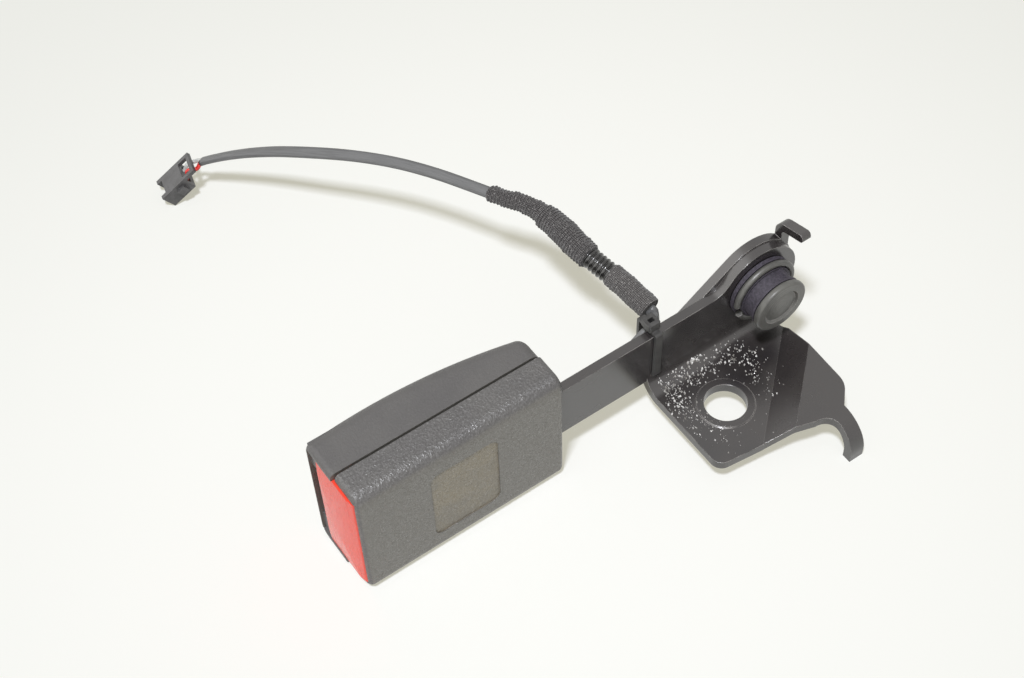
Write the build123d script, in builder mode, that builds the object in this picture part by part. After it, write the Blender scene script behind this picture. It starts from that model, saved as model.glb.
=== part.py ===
"""Seat belt buckle on a rigid steel stalk, with its switch lead and two-way connector.

The origin is the centre of the anchor bolt hole, on the underside of the base plate.
+X runs from the buckle along the strap to the lug, +Y from the near broad face of the
housing to its far one, +Z up across the strap. Sizes are millimetres.
"""
from build123d import *
import math
import os

# ---------------------------------------------------------------- driving dimensions
# Bracket: strap, lug and base plate blanked and bent from one sheet
sheet = 3.2
strap_width = 22.0
strap_mid_z = 17.8            # height of the strap's centre line over the underside of the base
strap_near_y = 19.3           # from the bolt hole's axis to the strap's near face
bend_inside_r = 5.5
bend_right_x = 33.5
hole_d = 13.8                 # clears a 7/16-20 UNF or M12 shouldered anchor bolt
hole_ring_d = 19.0            # coined ring round the bolt hole
hole_ring_rise = 0.4
base_left_x = -16.4
base_near_y = -16.9
base_corner_r = 4.0
base_right_corner_r = 8.0
base_front_edge = ((0.3, -18.9), (9.3, -21.1))
base_right_edge = ((33.6, -17.6), (34.7, 10.5))
ramp_foot = (0.7, -17.8)      # the joggle's lower fold starts here
ramp_head = (28.0, 7.0)       # and runs through here
ramp_width = 9.0
ramp_rise = 3.6
floor_z = -7.2                # the level of the housing's lower side and of the hook's tip
low_hook_x = 22.3
low_hook_width = 5.3
low_hook_outside_r = 11.0
low_hook_tip_y = -34.9
low_hook_root_r = 5.5
hook_root_y = -23.4

# Lug, stud and spool
knob_x = 27.0
knob_z = 23.8
lug_r = 15.0
lug_blend_r = 8.0
doubler_sheet = 3.0
doubler_r = 15.5
doubler_tail = (0.0, 19.0)
doubler_tail_r = 4.0
top_hook_x = 37.5
top_hook_width = 3.4
top_hook_bend_z = 37.85       # the strip stands upright to here,
top_hook_inside_r = 1.8
top_hook_rise_deg = 17.0      # and its arm still rises this much towards the tip
top_hook_tip_y = 12.6
top_hook_tip_r = 1.2
shank_r = 5.0
cap_r = 9.8
cap_face_y = 7.8
cap_thickness = 2.4
cap_dish_r = 6.6
cap_dish_depth = 0.7
spool_r = 8.8
spool_flange_r = 9.4
spool_flange = 0.9
spool_seat_r = 9.7            # shoulder that carries the spring ring
spool_base_r = 11.5           # far flange
spool_base = 1.4
spool_gap = 0.05              # running fit of the spool on the shank
spool_end_gap = 0.2
ring_wire_r = 1.1
ring_gap_deg = 24.0
ring_gap_at_deg = 170.0
ring_fit = 0.05
ring_room = 0.15              # between the ring and the spool's far flange
key_width = 1.6
key_height = 1.2
key_at_deg = 60.0
rivet_head_r = 8.0
rivet_head = 2.0

# Housing
buckle_front_x = -123.7
buckle_length = 71.5
near_face_y = 14.1
parting_y = 25.8              # rim of the near shell
parting_groove = 0.8          # open groove between the two rims
far_front_step = 1.0          # how far the far shell stands forward of the near one
far_crown_y = 42.6            # far face at the crown of its arch
far_arch_r = 201.0
crown_x = -103.0
side_wall = 2.6
face_wall = 1.5
far_wall = 1.4
near_edge_r = 4.5
far_edge_r = 5.0
end_edge_r = 2.0
far_end_edge_r = 3.5
front_edge_r = 1.8
lip = 1.1                     # the far shell's lip inside the near rim
lip_depth = 1.6
lip_root = 1.6                # height of the lip's root on the far shell's side wall
lip_start = 14.0
lip_gap = 0.15
label_from_front = 24.0
label_length = 23.5
label_height = 32.0
label_corner_r = 3.0
label_depth = 0.4
slot_gap = 0.3                # round the strap where it leaves the housing
boss_from_rear = 8.0
boss_from_side = 3.0
boss_r = 2.4
boss_pin_r = 1.3
boss_pin_gap = 0.2
boss_pin_reach = 2.2          # of the pin into its socket
boss_socket = 4.0             # depth of the socket
spring_rib = 1.6
spring_rib_margin = 4.0       # of rib beyond the springs' centres

# Press button
button_gap = 0.3              # between the button and the side walls
button_near_y = 15.8
button_far_y = 35.4
button_wall = 2.2
button_side_wall = 1.5
button_depth = 8.0            # from its near front edge to the rear of its skirt
button_lead = 1.2             # how far the far front edge stands forward of the near one
button_bulge = 0.9            # of the face between those edges
button_dome_r = 260.0
button_edge_r = 1.2
button_travel = 5.0
leg_thickness = 2.4
leg_gap = 0.5                 # between a leg and the frame's wall
leg_near_y = 27.8
leg_far_y = 33.3
leg_tip = 2.4                 # of leg above and behind the ramp
ramp_cut = 0.25               # running gap between the leg's ramp and the latch's ears

# Steel frame, latch and ejector
frame_sheet = 2.0
frame_width = 32.0
housing_room = 6.4            # beside the frame, for the button's legs and the switch
frame_front_x = -110.2
frame_walls_rear_x = -66.0
frame_rear_x = -57.0
frame_tail_width = 20.0
frame_top_y = 40.0
frame_rear_top_y = 36.2
tongue_slot_height = 28.0
strap_front_x = -74.0
rivet_r = 2.5
rivet_button_r = 4.2
rivet_button = 1.4
rivet_xs = (-69.5, -60.5)
latch_pin_x = -72.0
latch_pin_r = 1.5
latch_pin_reach = 0.6         # of pin outside each wall
latch_eye_wall = 0.25
nose_chamfer = 1.2
latch_sheet = 2.0
latch_mid_y = 32.0
latch_width = 20.0
latch_front_x = -103.0
nose_top_y = 38.6
nose_length = 2.5
ear_x = -97.0
ear_r = 1.5
latch_drop_deg = 6.6
pin_gap = 0.05
ejector_front_x = -99.0
ejector_length = 12.0
ejector_near_y = 33.8
ejector_far_y = 38.0
ejector_ear_near_y = 34.6
ejector_ear_far_y = 36.6
ejector_travel = 12.0
slide_gap = 0.3
spring_seat_x = -68.0
spring_seat_near_y = 33.6
spring_seat = (1.8, 12.0)      # thickness and width

# Coil springs
wire_r = 0.35
coil_end_gap = 0.1
leaf_sheet = 0.4
leaf_width = 6.0
leaf_feet = (4.0, 9.0)        # of leaf on the frame's base, from the latch's pin
leaf_heads = (16.0, 19.0)     # and under the lever
spring_turns = 7
ejector_spring_r = 1.6
button_spring_r = 2.2
button_spring_z = 9.0
button_spring_seat_x = -96.0
button_spring_y = 20.0

# Switch, lead and its sleeves
switch_size = (14.0, 5.6)      # along the lead and across it
switch_chamfer = 0.6
switch_gap = 0.3              # to the frame's wall
switch_wall_gap = 1.9         # to the housing's side wall
switch_rear_x = -74.0
switch_near_y = 25.0
lead_d = 3.2
lead_exit_z = 5.9             # height of the lead where it leaves the housing
wrap_a_d = 8.2
conduit_d = 7.2
wrap_b_d = 9.0
wrap_c_d = 6.2

# Cable tie
tie_x = -13.5
tie_width = 2.6
tie_band = 1.1
tie_head = (4.2, 4.6, 3.0)
tie_head_y = 22.6
tie_window = (2.0, 1.5)
tie_lead_y = 24.9             # the lead's centre where the tie holds it
tie_slot_z = 9.0               # lower edge of the tie's slot through the strap
tie_gap = 0.15

# Two-way connector at the end of the lead
plug_mouth = (-97.3, 188.9, -3.3)
plug_rear = (-86.5, 186.2, 5.2)
plug_width = 9.0
plug_height = 6.2
plug_body = 8.6               # length of the body, which ends at the mouth
wire_d = 1.5
wire_lead_out = 1.2
plug_pitch = 4.0
plug_cavity = 2.6
plug_prong = 1.6
plug_prong_length = 2.2
plug_guard = 1.4              # section of the guard loop behind the body
plug_tab = (1.2, 3.0, 3.4)    # latch tab on the body's side
terminal_gap = 0.1
terminal_wall = 0.4
terminal_inset = 0.9          # from the body's rear
terminal_length = 6.4

# ---------------------------------------------------------------- worked-out sizes
strap_far_y = strap_near_y + sheet
strap_low_z = strap_mid_z - strap_width / 2
strap_top_z = strap_mid_z + strap_width / 2
bend_y = strap_near_y - bend_inside_r
bend_z = sheet + bend_inside_r
buckle_rear_x = buckle_front_x + buckle_length
buckle_height = frame_width + 2 * (housing_room + side_wall)
housing_low_z = strap_mid_z - buckle_height / 2
housing_top_z = strap_mid_z + buckle_height / 2
far_rim_y = parting_y + parting_groove
doubler_far_y = strap_far_y + doubler_sheet
frame_near_y = strap_far_y
frame_base_far_y = frame_near_y + frame_sheet
frame_wall_z = frame_width / 2 - frame_sheet
far_front_x = buckle_front_x - far_front_step
button_height = buckle_height - 2 * side_wall - 2 * button_gap
leg_offset = frame_width / 2 + leg_gap + leg_thickness / 2
ring_mean_r = spool_seat_r + ring_fit + ring_wire_r


def facing_near(y):
    """Plane at y that looks at the viewer's side: sketches in it are (x, z)."""
    return Plane(origin=(0, y, 0), x_dir=(1, 0, 0), z_dir=(0, -1, 0))


def across(x):
    """Plane at x whose sketches are (y, z)."""
    return Plane(origin=(x, 0, 0), x_dir=(0, 1, 0), z_dir=(1, 0, 0))


def level(z):
    """Plane at height z whose sketches are (x, y)."""
    return Plane.XY.offset(z)


def save(part, name):
    """Labels a finished piece and writes it."""
    part.part.label = name
    export_step(part.part, f"parts/{name}.step")


os.makedirs("parts", exist_ok=True)

# ================================================================ anchor bracket
fold = Vector(ramp_head[0] - ramp_foot[0], ramp_head[1] - ramp_foot[1], 0).normalized()
across_fold = Vector(fold.Y, -fold.X, 0)
raised_z = ramp_rise
raised_top_z = ramp_rise + sheet
long_reach = knob_x - buckle_front_x

with BuildPart() as joggled_sheet:
    # The Z-shaped section of the joggle, drawn square to its folds
    joggle_plane = Plane(
        origin=Vector(*ramp_foot, 0) - fold * long_reach, x_dir=across_fold, z_dir=fold
    )
    up = -1 if joggle_plane.y_dir.Z < 0 else 1
    with BuildSketch(joggle_plane):
        with BuildLine():
            Polyline(
                (-long_reach, 0),
                (0, 0),
                (ramp_width, up * raised_z),
                (long_reach, up * raised_z),
                (long_reach, up * raised_top_z),
                (ramp_width, up * raised_top_z),
                (0, up * sheet),
                (-long_reach, up * sheet),
                close=True,
            )
        make_face()
    extrude(amount=3 * long_reach)

with BuildPart() as base_blank:
    # Plan outline of the base plate, from its bend to the root of the lower hook
    with BuildSketch(level(floor_z)) as base_outline:
        with BuildLine():
            Polyline(
                (base_left_x, bend_y),
                (base_left_x, base_near_y),
                *base_front_edge,
                (low_hook_x - low_hook_root_r, hook_root_y),
                (low_hook_x + low_hook_width, low_hook_tip_y + low_hook_outside_r),
                *base_right_edge,
                (bend_right_x, bend_y),
                close=True,
            )
        make_face()
        for corner, radius in (
            ((base_left_x, base_near_y), base_corner_r),
            (base_right_edge[0], base_right_corner_r),
        ):
            fillet(base_outline.vertices().sort_by_distance(corner)[0], radius)
    extrude(amount=long_reach)

with BuildPart() as anchor_bracket:
    # Strap and lug, standing on edge
    with BuildSketch(facing_near(strap_near_y)) as strap_blank:
        with Locations(((strap_front_x + knob_x) / 2, strap_mid_z)):
            Rectangle(knob_x - strap_front_x, strap_width)
        with Locations((knob_x, knob_z)):
            Circle(lug_r)
        fillet(
            strap_blank.vertices().sort_by_distance(
                (knob_x - math.sqrt(lug_r**2 - (strap_top_z - knob_z) ** 2), strap_top_z)
            )[0],
            lug_blend_r,
        )
        with Locations(((base_left_x + bend_right_x) / 2, (bend_z + strap_mid_z) / 2)):
            Rectangle(bend_right_x - base_left_x, strap_mid_z - bend_z)
    extrude(amount=-sheet)
    # Bend from the strap to the base plate
    with BuildSketch(across(base_left_x)):
        with Locations((bend_y, bend_z)):
            Circle(bend_inside_r + sheet)
            Circle(bend_inside_r, mode=Mode.SUBTRACT)
            Rectangle(
                bend_inside_r + sheet,
                bend_inside_r + sheet,
                align=(Align.MIN, Align.MAX),
                mode=Mode.INTERSECT,
            )
    extrude(amount=bend_right_x - base_left_x)
    # Base plate with its joggle
    add(joggled_sheet.part & base_blank.part)
    # Lower hook, turned down to the floor
    with BuildSketch(across(low_hook_x - low_hook_root_r)):
        hook_centre = (low_hook_tip_y + low_hook_outside_r, raised_top_z - low_hook_outside_r)
        with BuildLine():
            Polyline(
                (hook_centre[0], raised_top_z),
                (hook_centre[0] + 4.0, raised_top_z),
                (hook_centre[0] + 4.0, raised_z),
                (hook_centre[0], raised_z),
            )
            CenterArc(hook_centre, low_hook_outside_r - sheet, 90, 90)
            Polyline(
                (low_hook_tip_y + sheet, hook_centre[1]),
                (low_hook_tip_y + sheet, floor_z),
                (low_hook_tip_y, floor_z),
                (low_hook_tip_y, hook_centre[1]),
            )
            CenterArc(hook_centre, low_hook_outside_r, 90, 90)
        make_face()
    extrude(amount=low_hook_width + low_hook_root_r)
    # The hook's root is blanked with a round inside corner
    with BuildSketch(level(floor_z)):
        root_centre = (low_hook_x - low_hook_root_r, hook_root_y - low_hook_root_r)
        with BuildLine():
            CenterArc(root_centre, low_hook_root_r, 0, 90)
            Polyline(
                (root_centre[0], hook_root_y),
                (low_hook_x - 8.0, hook_root_y),
                (low_hook_x - 8.0, low_hook_tip_y - 2.0),
                (low_hook_x, low_hook_tip_y - 2.0),
                (low_hook_x, root_centre[1]),
            )
        make_face()
    extrude(amount=30.0, mode=Mode.SUBTRACT)
    # Coined ring and bolt hole
    with BuildSketch(level(sheet)):
        Circle(hole_ring_d / 2)
    extrude(amount=hole_ring_rise, taper=30)
    Hole(hole_d / 2)
    # Slot that the cable tie passes through, just above the bend
    with BuildSketch(facing_near(strap_near_y)):
        with Locations((tie_x, tie_slot_z + tie_band / 2)):
            RectangleRounded(tie_width + 4 * tie_gap, tie_band + 2 * tie_gap, 0.5)
    extrude(amount=-sheet, mode=Mode.SUBTRACT)
    # Rivet holes for the buckle's frame, and the stud's hole in the lug
    with Locations(*[facing_near(strap_near_y).offset(5) * Pos(x, strap_mid_z, 0) for x in rivet_xs]):
        Hole(rivet_r)
    with Locations(facing_near(strap_near_y).offset(5) * Pos(knob_x, knob_z, 0)):
        Hole(shank_r)

save(anchor_bracket, "anchor_bracket")

# ================================================================ lug: doubler, stud, spool
with BuildPart() as lug_doubler:
    with BuildSketch(facing_near(strap_far_y)):
        with Locations((knob_x, knob_z)):
            Circle(doubler_r)
        with Locations(doubler_tail):
            Circle(doubler_tail_r)
        make_hull()
        with Locations((top_hook_x, knob_z)):
            Rectangle(top_hook_width, top_hook_bend_z - knob_z, align=(Align.MIN, Align.MIN))
    extrude(amount=-doubler_sheet)
    # Top hook, bent over towards the near side
    with BuildSketch(across(top_hook_x)) as hook_section:
        bend_centre = (doubler_far_y - top_hook_inside_r - doubler_sheet, top_hook_bend_z)
        hook_turn = 90 - top_hook_rise_deg
        with BuildLine():
            outer_bend = CenterArc(bend_centre, top_hook_inside_r + doubler_sheet, 0, hook_turn)
            inner_bend = CenterArc(bend_centre, top_hook_inside_r, 0, hook_turn)
            Line(outer_bend @ 0, inner_bend @ 0)
            arm_length = (bend_centre[0] - top_hook_tip_y) / math.cos(math.radians(top_hook_rise_deg))
            upper_line = Line(outer_bend @ 1, (outer_bend @ 1) + (outer_bend % 1) * arm_length)
            lower_line = Line(inner_bend @ 1, (inner_bend @ 1) + (inner_bend % 1) * arm_length)
            Line(upper_line @ 1, lower_line @ 1)
        make_face()
        for tip in (upper_line @ 1, lower_line @ 1):
            fillet(hook_section.vertices().sort_by_distance(tip)[0], top_hook_tip_r)
    extrude(amount=top_hook_width)
    with Locations(facing_near(strap_far_y).offset(5) * Pos(knob_x, knob_z, 0)):
        Hole(shank_r)

save(lug_doubler, "lug_doubler")

# Turned pieces on the knob's axis: sketches are (y, radius)
knob_section = Plane(origin=(knob_x, 0, knob_z), x_dir=(0, 1, 0), z_dir=(1, 0, 0))
knob_axis = Axis((knob_x, 0, knob_z), (0, 1, 0))
cap_rear_y = cap_face_y + cap_thickness
spool_near_y = cap_rear_y + spool_end_gap
spool_far_y = strap_near_y - spool_end_gap

with BuildPart() as anchor_stud:
    with BuildSketch(knob_section):
        with BuildLine():
            Polyline(
                (cap_face_y + cap_dish_depth, 0),
                (cap_face_y + cap_dish_depth, cap_dish_r - cap_dish_depth),
                (cap_face_y, cap_dish_r),
                (cap_face_y, cap_r),
                (cap_rear_y, cap_r),
                (cap_rear_y, shank_r),
                (doubler_far_y, shank_r),
                (doubler_far_y, rivet_head_r),
                (doubler_far_y + rivet_head * 0.4, rivet_head_r),
            )
            Polyline(
                (doubler_far_y + rivet_head * 0.4, rivet_head_r),
                (doubler_far_y + rivet_head, rivet_head_r * 0.6),
                (doubler_far_y + rivet_head, 0),
                (cap_face_y + cap_dish_depth, 0),
            )
        make_face()
    revolve(axis=knob_axis)
    cap_rims = anchor_stud.edges().filter_by(GeomType.CIRCLE).filter_by(
        lambda edge: abs(edge.radius - cap_r) < 0.01
    )
    fillet(cap_rims, cap_thickness * 0.35)

save(anchor_stud, "anchor_stud")

base_start_y = spool_far_y - spool_base
ring_y = base_start_y - ring_room - ring_wire_r
seat_start_y = ring_y - ring_wire_r

with BuildPart() as spool_bush:
    with BuildSketch(knob_section):
        with BuildLine():
            Polyline(
                (spool_near_y, shank_r + spool_gap),
                (spool_near_y, spool_flange_r),
                (spool_near_y + spool_flange, spool_flange_r),
                (spool_near_y + spool_flange, spool_r),
                (seat_start_y, spool_r),
                (seat_start_y, spool_seat_r),
                (base_start_y, spool_seat_r),
                (base_start_y, spool_base_r),
                (spool_far_y, spool_base_r),
                (spool_far_y, shank_r + spool_gap),
                close=True,
            )
        make_face()
    revolve(axis=knob_axis)
    # A small key along the barrel
    with BuildSketch(facing_near(spool_near_y + spool_flange)):
        with Locations((knob_x, knob_z)):
            with PolarLocations(spool_r, 1, start_angle=key_at_deg):
                Rectangle(key_height, key_width)
    extrude(amount=-(seat_start_y - spool_near_y - spool_flange))

save(spool_bush, "spool_bush")

with BuildPart() as spring_ring:
    # Round spring wire, open at one side
    gap_end = math.radians(ring_gap_at_deg + ring_gap_deg / 2)
    gap_side = Vector(math.cos(gap_end), 0, math.sin(gap_end))
    wire_start = Plane(
        origin=(knob_x, 0, knob_z), x_dir=(0, 1, 0), z_dir=Vector(0, 1, 0).cross(gap_side)
    )
    with BuildSketch(wire_start):
        with Locations((ring_y, ring_mean_r)):
            Circle(ring_wire_r)
    revolve(axis=knob_axis, revolution_arc=360 - ring_gap_deg)

save(spring_ring, "spring_ring")

# ================================================================ housing shells
cavity_low_z = housing_low_z + side_wall
cavity_top_z = housing_top_z - side_wall
rear_wall_x = buckle_rear_x - side_wall


def arch_y(x, inset=0):
    """Height of the far face's arch at x, moved in by inset."""
    drop = far_arch_r - math.sqrt((far_arch_r - inset) ** 2 - (x - crown_x) ** 2)
    return far_crown_y - drop


def far_arch(front_x, rear_x, inset):
    """The far shell's side profile, from its rim to the arch moved in by inset."""
    front_y, rear_y = arch_y(front_x, inset), arch_y(rear_x, inset)
    Polyline((rear_x, rear_y), (rear_x, far_rim_y), (front_x, far_rim_y), (front_x, front_y))
    ThreePointArc((front_x, front_y), (crown_x, far_crown_y - inset), (rear_x, rear_y))


def round_front(shell, side):
    """Rounds the outer edge of a shell's front face; side is -1 for the near shell."""
    front = shell.faces().sort_by(Axis.X)[0]
    rim_y = parting_y if side < 0 else far_rim_y
    fillet(front.edges().filter_by(lambda edge: (edge.center().Y - rim_y) * side > 0.1), front_edge_r)


with BuildPart() as housing_near_shell:
    with BuildSketch(level(housing_low_z)):
        with BuildLine():
            Polyline(
                (buckle_front_x, near_face_y),
                (buckle_rear_x, near_face_y),
                (buckle_rear_x, parting_y),
                (buckle_front_x, parting_y),
                close=True,
            )
        make_face()
    extrude(amount=buckle_height)
    long_edges = housing_near_shell.edges().filter_by(Axis.X).group_by(Axis.Y)[0]
    fillet(long_edges, near_edge_r)
    end_loop = housing_near_shell.faces().sort_by(Axis.X)[-1].edges().filter_by(
        lambda edge: edge.center().Y < parting_y - 0.1
    )
    fillet(end_loop, end_edge_r)
    round_front(housing_near_shell, -1)
    # Cavity, open to the front and to the parting line
    with BuildSketch(level(cavity_low_z)):
        with BuildLine():
            Polyline(
                (buckle_front_x - 1, near_face_y + face_wall),
                (rear_wall_x, near_face_y + face_wall),
                (rear_wall_x, parting_y),
                (buckle_front_x - 1, parting_y),
                close=True,
            )
        make_face()
    extrude(amount=cavity_top_z - cavity_low_z, mode=Mode.SUBTRACT)
    # Bare recessed field on the broad face
    with BuildSketch(facing_near(near_face_y)):
        with Locations((buckle_front_x + label_from_front + label_length / 2, strap_mid_z)):
            RectangleRounded(label_length, label_height, label_corner_r)
    extrude(amount=-label_depth, mode=Mode.SUBTRACT)
    # Slot in the rear wall for the strap, with room for the lead behind it
    with BuildSketch(across(rear_wall_x)):
        with Locations((strap_near_y - slot_gap, strap_low_z - slot_gap)):
            Rectangle(
                parting_y - strap_near_y + slot_gap,
                strap_width + 2 * slot_gap,
                align=(Align.MIN, Align.MIN),
            )
    extrude(amount=side_wall, mode=Mode.SUBTRACT)
    # Notch beside it for the lead
    with BuildSketch(across(rear_wall_x)):
        with Locations((strap_far_y, lead_exit_z)):
            Rectangle(
                parting_y - strap_far_y, lead_d + 2 * slot_gap, align=(Align.MIN, Align.CENTER)
            )
    extrude(amount=side_wall, mode=Mode.SUBTRACT)
    # Rib that the button's springs push against
    with BuildSketch(level(strap_mid_z - button_spring_z - spring_rib_margin)):
        with Locations((button_spring_seat_x, near_face_y + face_wall)):
            Rectangle(
                spring_rib,
                frame_near_y - slot_gap - near_face_y - face_wall,
                align=(Align.MIN, Align.MIN),
            )
    extrude(amount=2 * (button_spring_z + spring_rib_margin))
    # Boss and pin that locate the two shells
    boss_x = buckle_rear_x - boss_from_rear
    boss_z = cavity_top_z - boss_from_side
    boss_top_y = far_rim_y - lip_depth - slot_gap
    with BuildSketch(facing_near(near_face_y + face_wall)):
        with Locations((boss_x, boss_z)):
            Circle(boss_r)
    extrude(amount=-(boss_top_y - near_face_y - face_wall))
    with BuildSketch(facing_near(boss_top_y)):
        with Locations((boss_x, boss_z)):
            Circle(boss_pin_r)
    extrude(amount=-(far_rim_y + boss_pin_reach - boss_top_y))

save(housing_near_shell, "housing_near_shell")

with BuildPart() as housing_far_shell:
    with BuildSketch(level(housing_low_z)):
        with BuildLine():
            far_arch(far_front_x, buckle_rear_x, 0)
        make_face()
    extrude(amount=buckle_height)
    arch_edges = housing_far_shell.edges().filter_by(GeomType.CIRCLE)
    fillet(arch_edges, far_edge_r)
    far_end_loop = housing_far_shell.faces().sort_by(Axis.X)[-1].edges().filter_by(
        lambda edge: edge.center().Y > far_rim_y + 0.1
    )
    fillet(far_end_loop, far_end_edge_r)
    round_front(housing_far_shell, 1)
    # Cavity
    with BuildSketch(level(cavity_low_z)):
        with BuildLine():
            far_arch(far_front_x - 1, rear_wall_x, far_wall)
        make_face()
    extrude(amount=cavity_top_z - cavity_low_z, mode=Mode.SUBTRACT)
    # Lips that register inside the near rim, along both sides
    lip_mid_x = (far_front_x + lip_start + rear_wall_x) / 2
    lip_length = rear_wall_x - far_front_x - lip_start - 2 * lip_gap
    for side in (-1, 1):
        lip_mid_z = strap_mid_z + side * (buckle_height / 2 - side_wall - lip_gap - lip / 2)
        with BuildSketch(facing_near(far_rim_y - lip_depth)):
            with Locations((lip_mid_x, lip_mid_z)):
                Rectangle(lip_length, lip)
        extrude(amount=-(lip_depth + lip_root))
        # and its root, in the side wall
        root_width = lip + lip_gap + side_wall / 2
        root_mid_z = strap_mid_z + side * (buckle_height / 2 - side_wall / 2 - root_width / 2)
        with BuildSketch(facing_near(far_rim_y)):
            with Locations((lip_mid_x, root_mid_z)):
                Rectangle(lip_length, root_width)
        extrude(amount=-lip_root)
    # Guides that narrow the front to the tongue's slot
    for side in (-1, 1):
        guide_z = strap_mid_z + side * (tongue_slot_height / 2)
        guide_end_z = strap_mid_z + side * (buckle_height / 2 - side_wall / 2)
        with BuildSketch(across(buckle_front_x)):
            with Locations((button_far_y + slot_gap, (guide_z + guide_end_z) / 2)):
                Rectangle(
                    arch_y(far_front_x) - far_wall / 2 - button_far_y - slot_gap,
                    abs(guide_end_z - guide_z),
                    align=(Align.MIN, Align.CENTER),
                )
        extrude(amount=frame_front_x - 2 * slot_gap - buckle_front_x)
    # Seat of the ejector's spring
    with BuildSketch(level(strap_mid_z - spring_seat[1] / 2)):
        with Locations((spring_seat_x, spring_seat_near_y)):
            Rectangle(
                spring_seat[0],
                arch_y(spring_seat_x + spring_seat[0], far_wall / 2) - spring_seat_near_y,
                align=(Align.MIN, Align.MIN),
            )
    extrude(amount=spring_seat[1])
    # Socket for the near shell's pin
    with BuildSketch(facing_near(far_rim_y)):
        with Locations((boss_x, boss_z)):
            Circle(boss_r)
    extrude(amount=-(arch_y(boss_x + boss_r, far_wall / 2) - far_rim_y))
    with BuildSketch(facing_near(far_rim_y)):
        with Locations((boss_x, boss_z)):
            Circle(boss_pin_r + boss_pin_gap)
    extrude(amount=-boss_socket, mode=Mode.SUBTRACT)

save(housing_far_shell, "housing_far_shell")

# ================================================================ press button
button_low_z = strap_mid_z - button_height / 2
with BuildPart() as button_dome:
    # Crown of the face, seen from the broad side
    with BuildSketch(facing_near(button_near_y - 1)):
        with Locations((buckle_front_x - button_lead - button_bulge / 2 + button_dome_r, strap_mid_z)):
            Circle(button_dome_r)
    extrude(amount=-(button_far_y - button_near_y + 2))

with BuildPart() as press_button:
    with BuildSketch(level(button_low_z)) as button_profile:
        with BuildLine():
            Polyline(
                (buckle_front_x - button_lead, button_far_y),
                (buckle_front_x + button_depth, button_far_y),
                (buckle_front_x + button_depth, button_near_y),
                (buckle_front_x, button_near_y),
            )
            ThreePointArc(
                (buckle_front_x, button_near_y),
                (
                    buckle_front_x - button_lead / 2 - button_bulge,
                    (button_near_y + button_far_y) / 2,
                ),
                (buckle_front_x - button_lead, button_far_y),
            )
        make_face()
        button_corners = (
            (buckle_front_x, button_near_y),
            (buckle_front_x - button_lead, button_far_y),
        )
        for corner in button_corners:
            fillet(button_profile.vertices().sort_by_distance(corner)[0], button_edge_r)
    extrude(amount=button_height)
    add(button_dome.part, mode=Mode.INTERSECT)
    # Hollow behind the face
    with BuildSketch(level(button_low_z + button_wall)):
        with BuildLine():
            Polyline(
                (buckle_front_x + button_wall, button_near_y + button_side_wall),
                (buckle_front_x + button_depth + 1, button_near_y + button_side_wall),
                (buckle_front_x + button_depth + 1, button_far_y - button_side_wall),
                (buckle_front_x + button_wall, button_far_y - button_side_wall),
                close=True,
            )
        make_face()
    extrude(amount=button_height - 2 * button_wall, mode=Mode.SUBTRACT)
    # Legs that reach back beside the frame. Each ends in a ramp that bears on a latch ear
    latch_slope = (
        (ear_x - latch_pin_x) * -math.sin(math.radians(latch_drop_deg)) / button_travel
    )
    ramp_lift = (ear_r + ramp_cut) * math.sqrt(1 + latch_slope**2)

    def ramp_y(x):
        return latch_mid_y + ramp_lift + latch_slope * (x - ear_x)

    ramp_front_x = ear_x - button_travel - 2 * ear_r
    ramp_rear_x = ear_x + ear_r
    leg_root_x = buckle_front_x + button_wall
    for side in (-1, 1):
        leg_mid_z = strap_mid_z + side * leg_offset
        with BuildSketch(level(leg_mid_z - leg_thickness / 2)):
            with BuildLine():
                Polyline(
                    (leg_root_x, leg_near_y),
                    (ramp_front_x, leg_near_y),
                    (ramp_front_x, ramp_y(ramp_front_x)),
                    (ramp_rear_x, ramp_y(ramp_rear_x)),
                    (ramp_rear_x + leg_tip, ramp_y(ramp_rear_x)),
                    (ramp_rear_x + leg_tip, ramp_y(ramp_rear_x) + leg_tip),
                    (ramp_front_x, ramp_y(ramp_rear_x) + leg_tip),
                    (ramp_front_x - 2 * leg_tip, leg_far_y),
                    (leg_root_x, leg_far_y),
                    close=True,
                )
            make_face()
        extrude(amount=leg_thickness)

save(press_button, "press_button")

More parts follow.
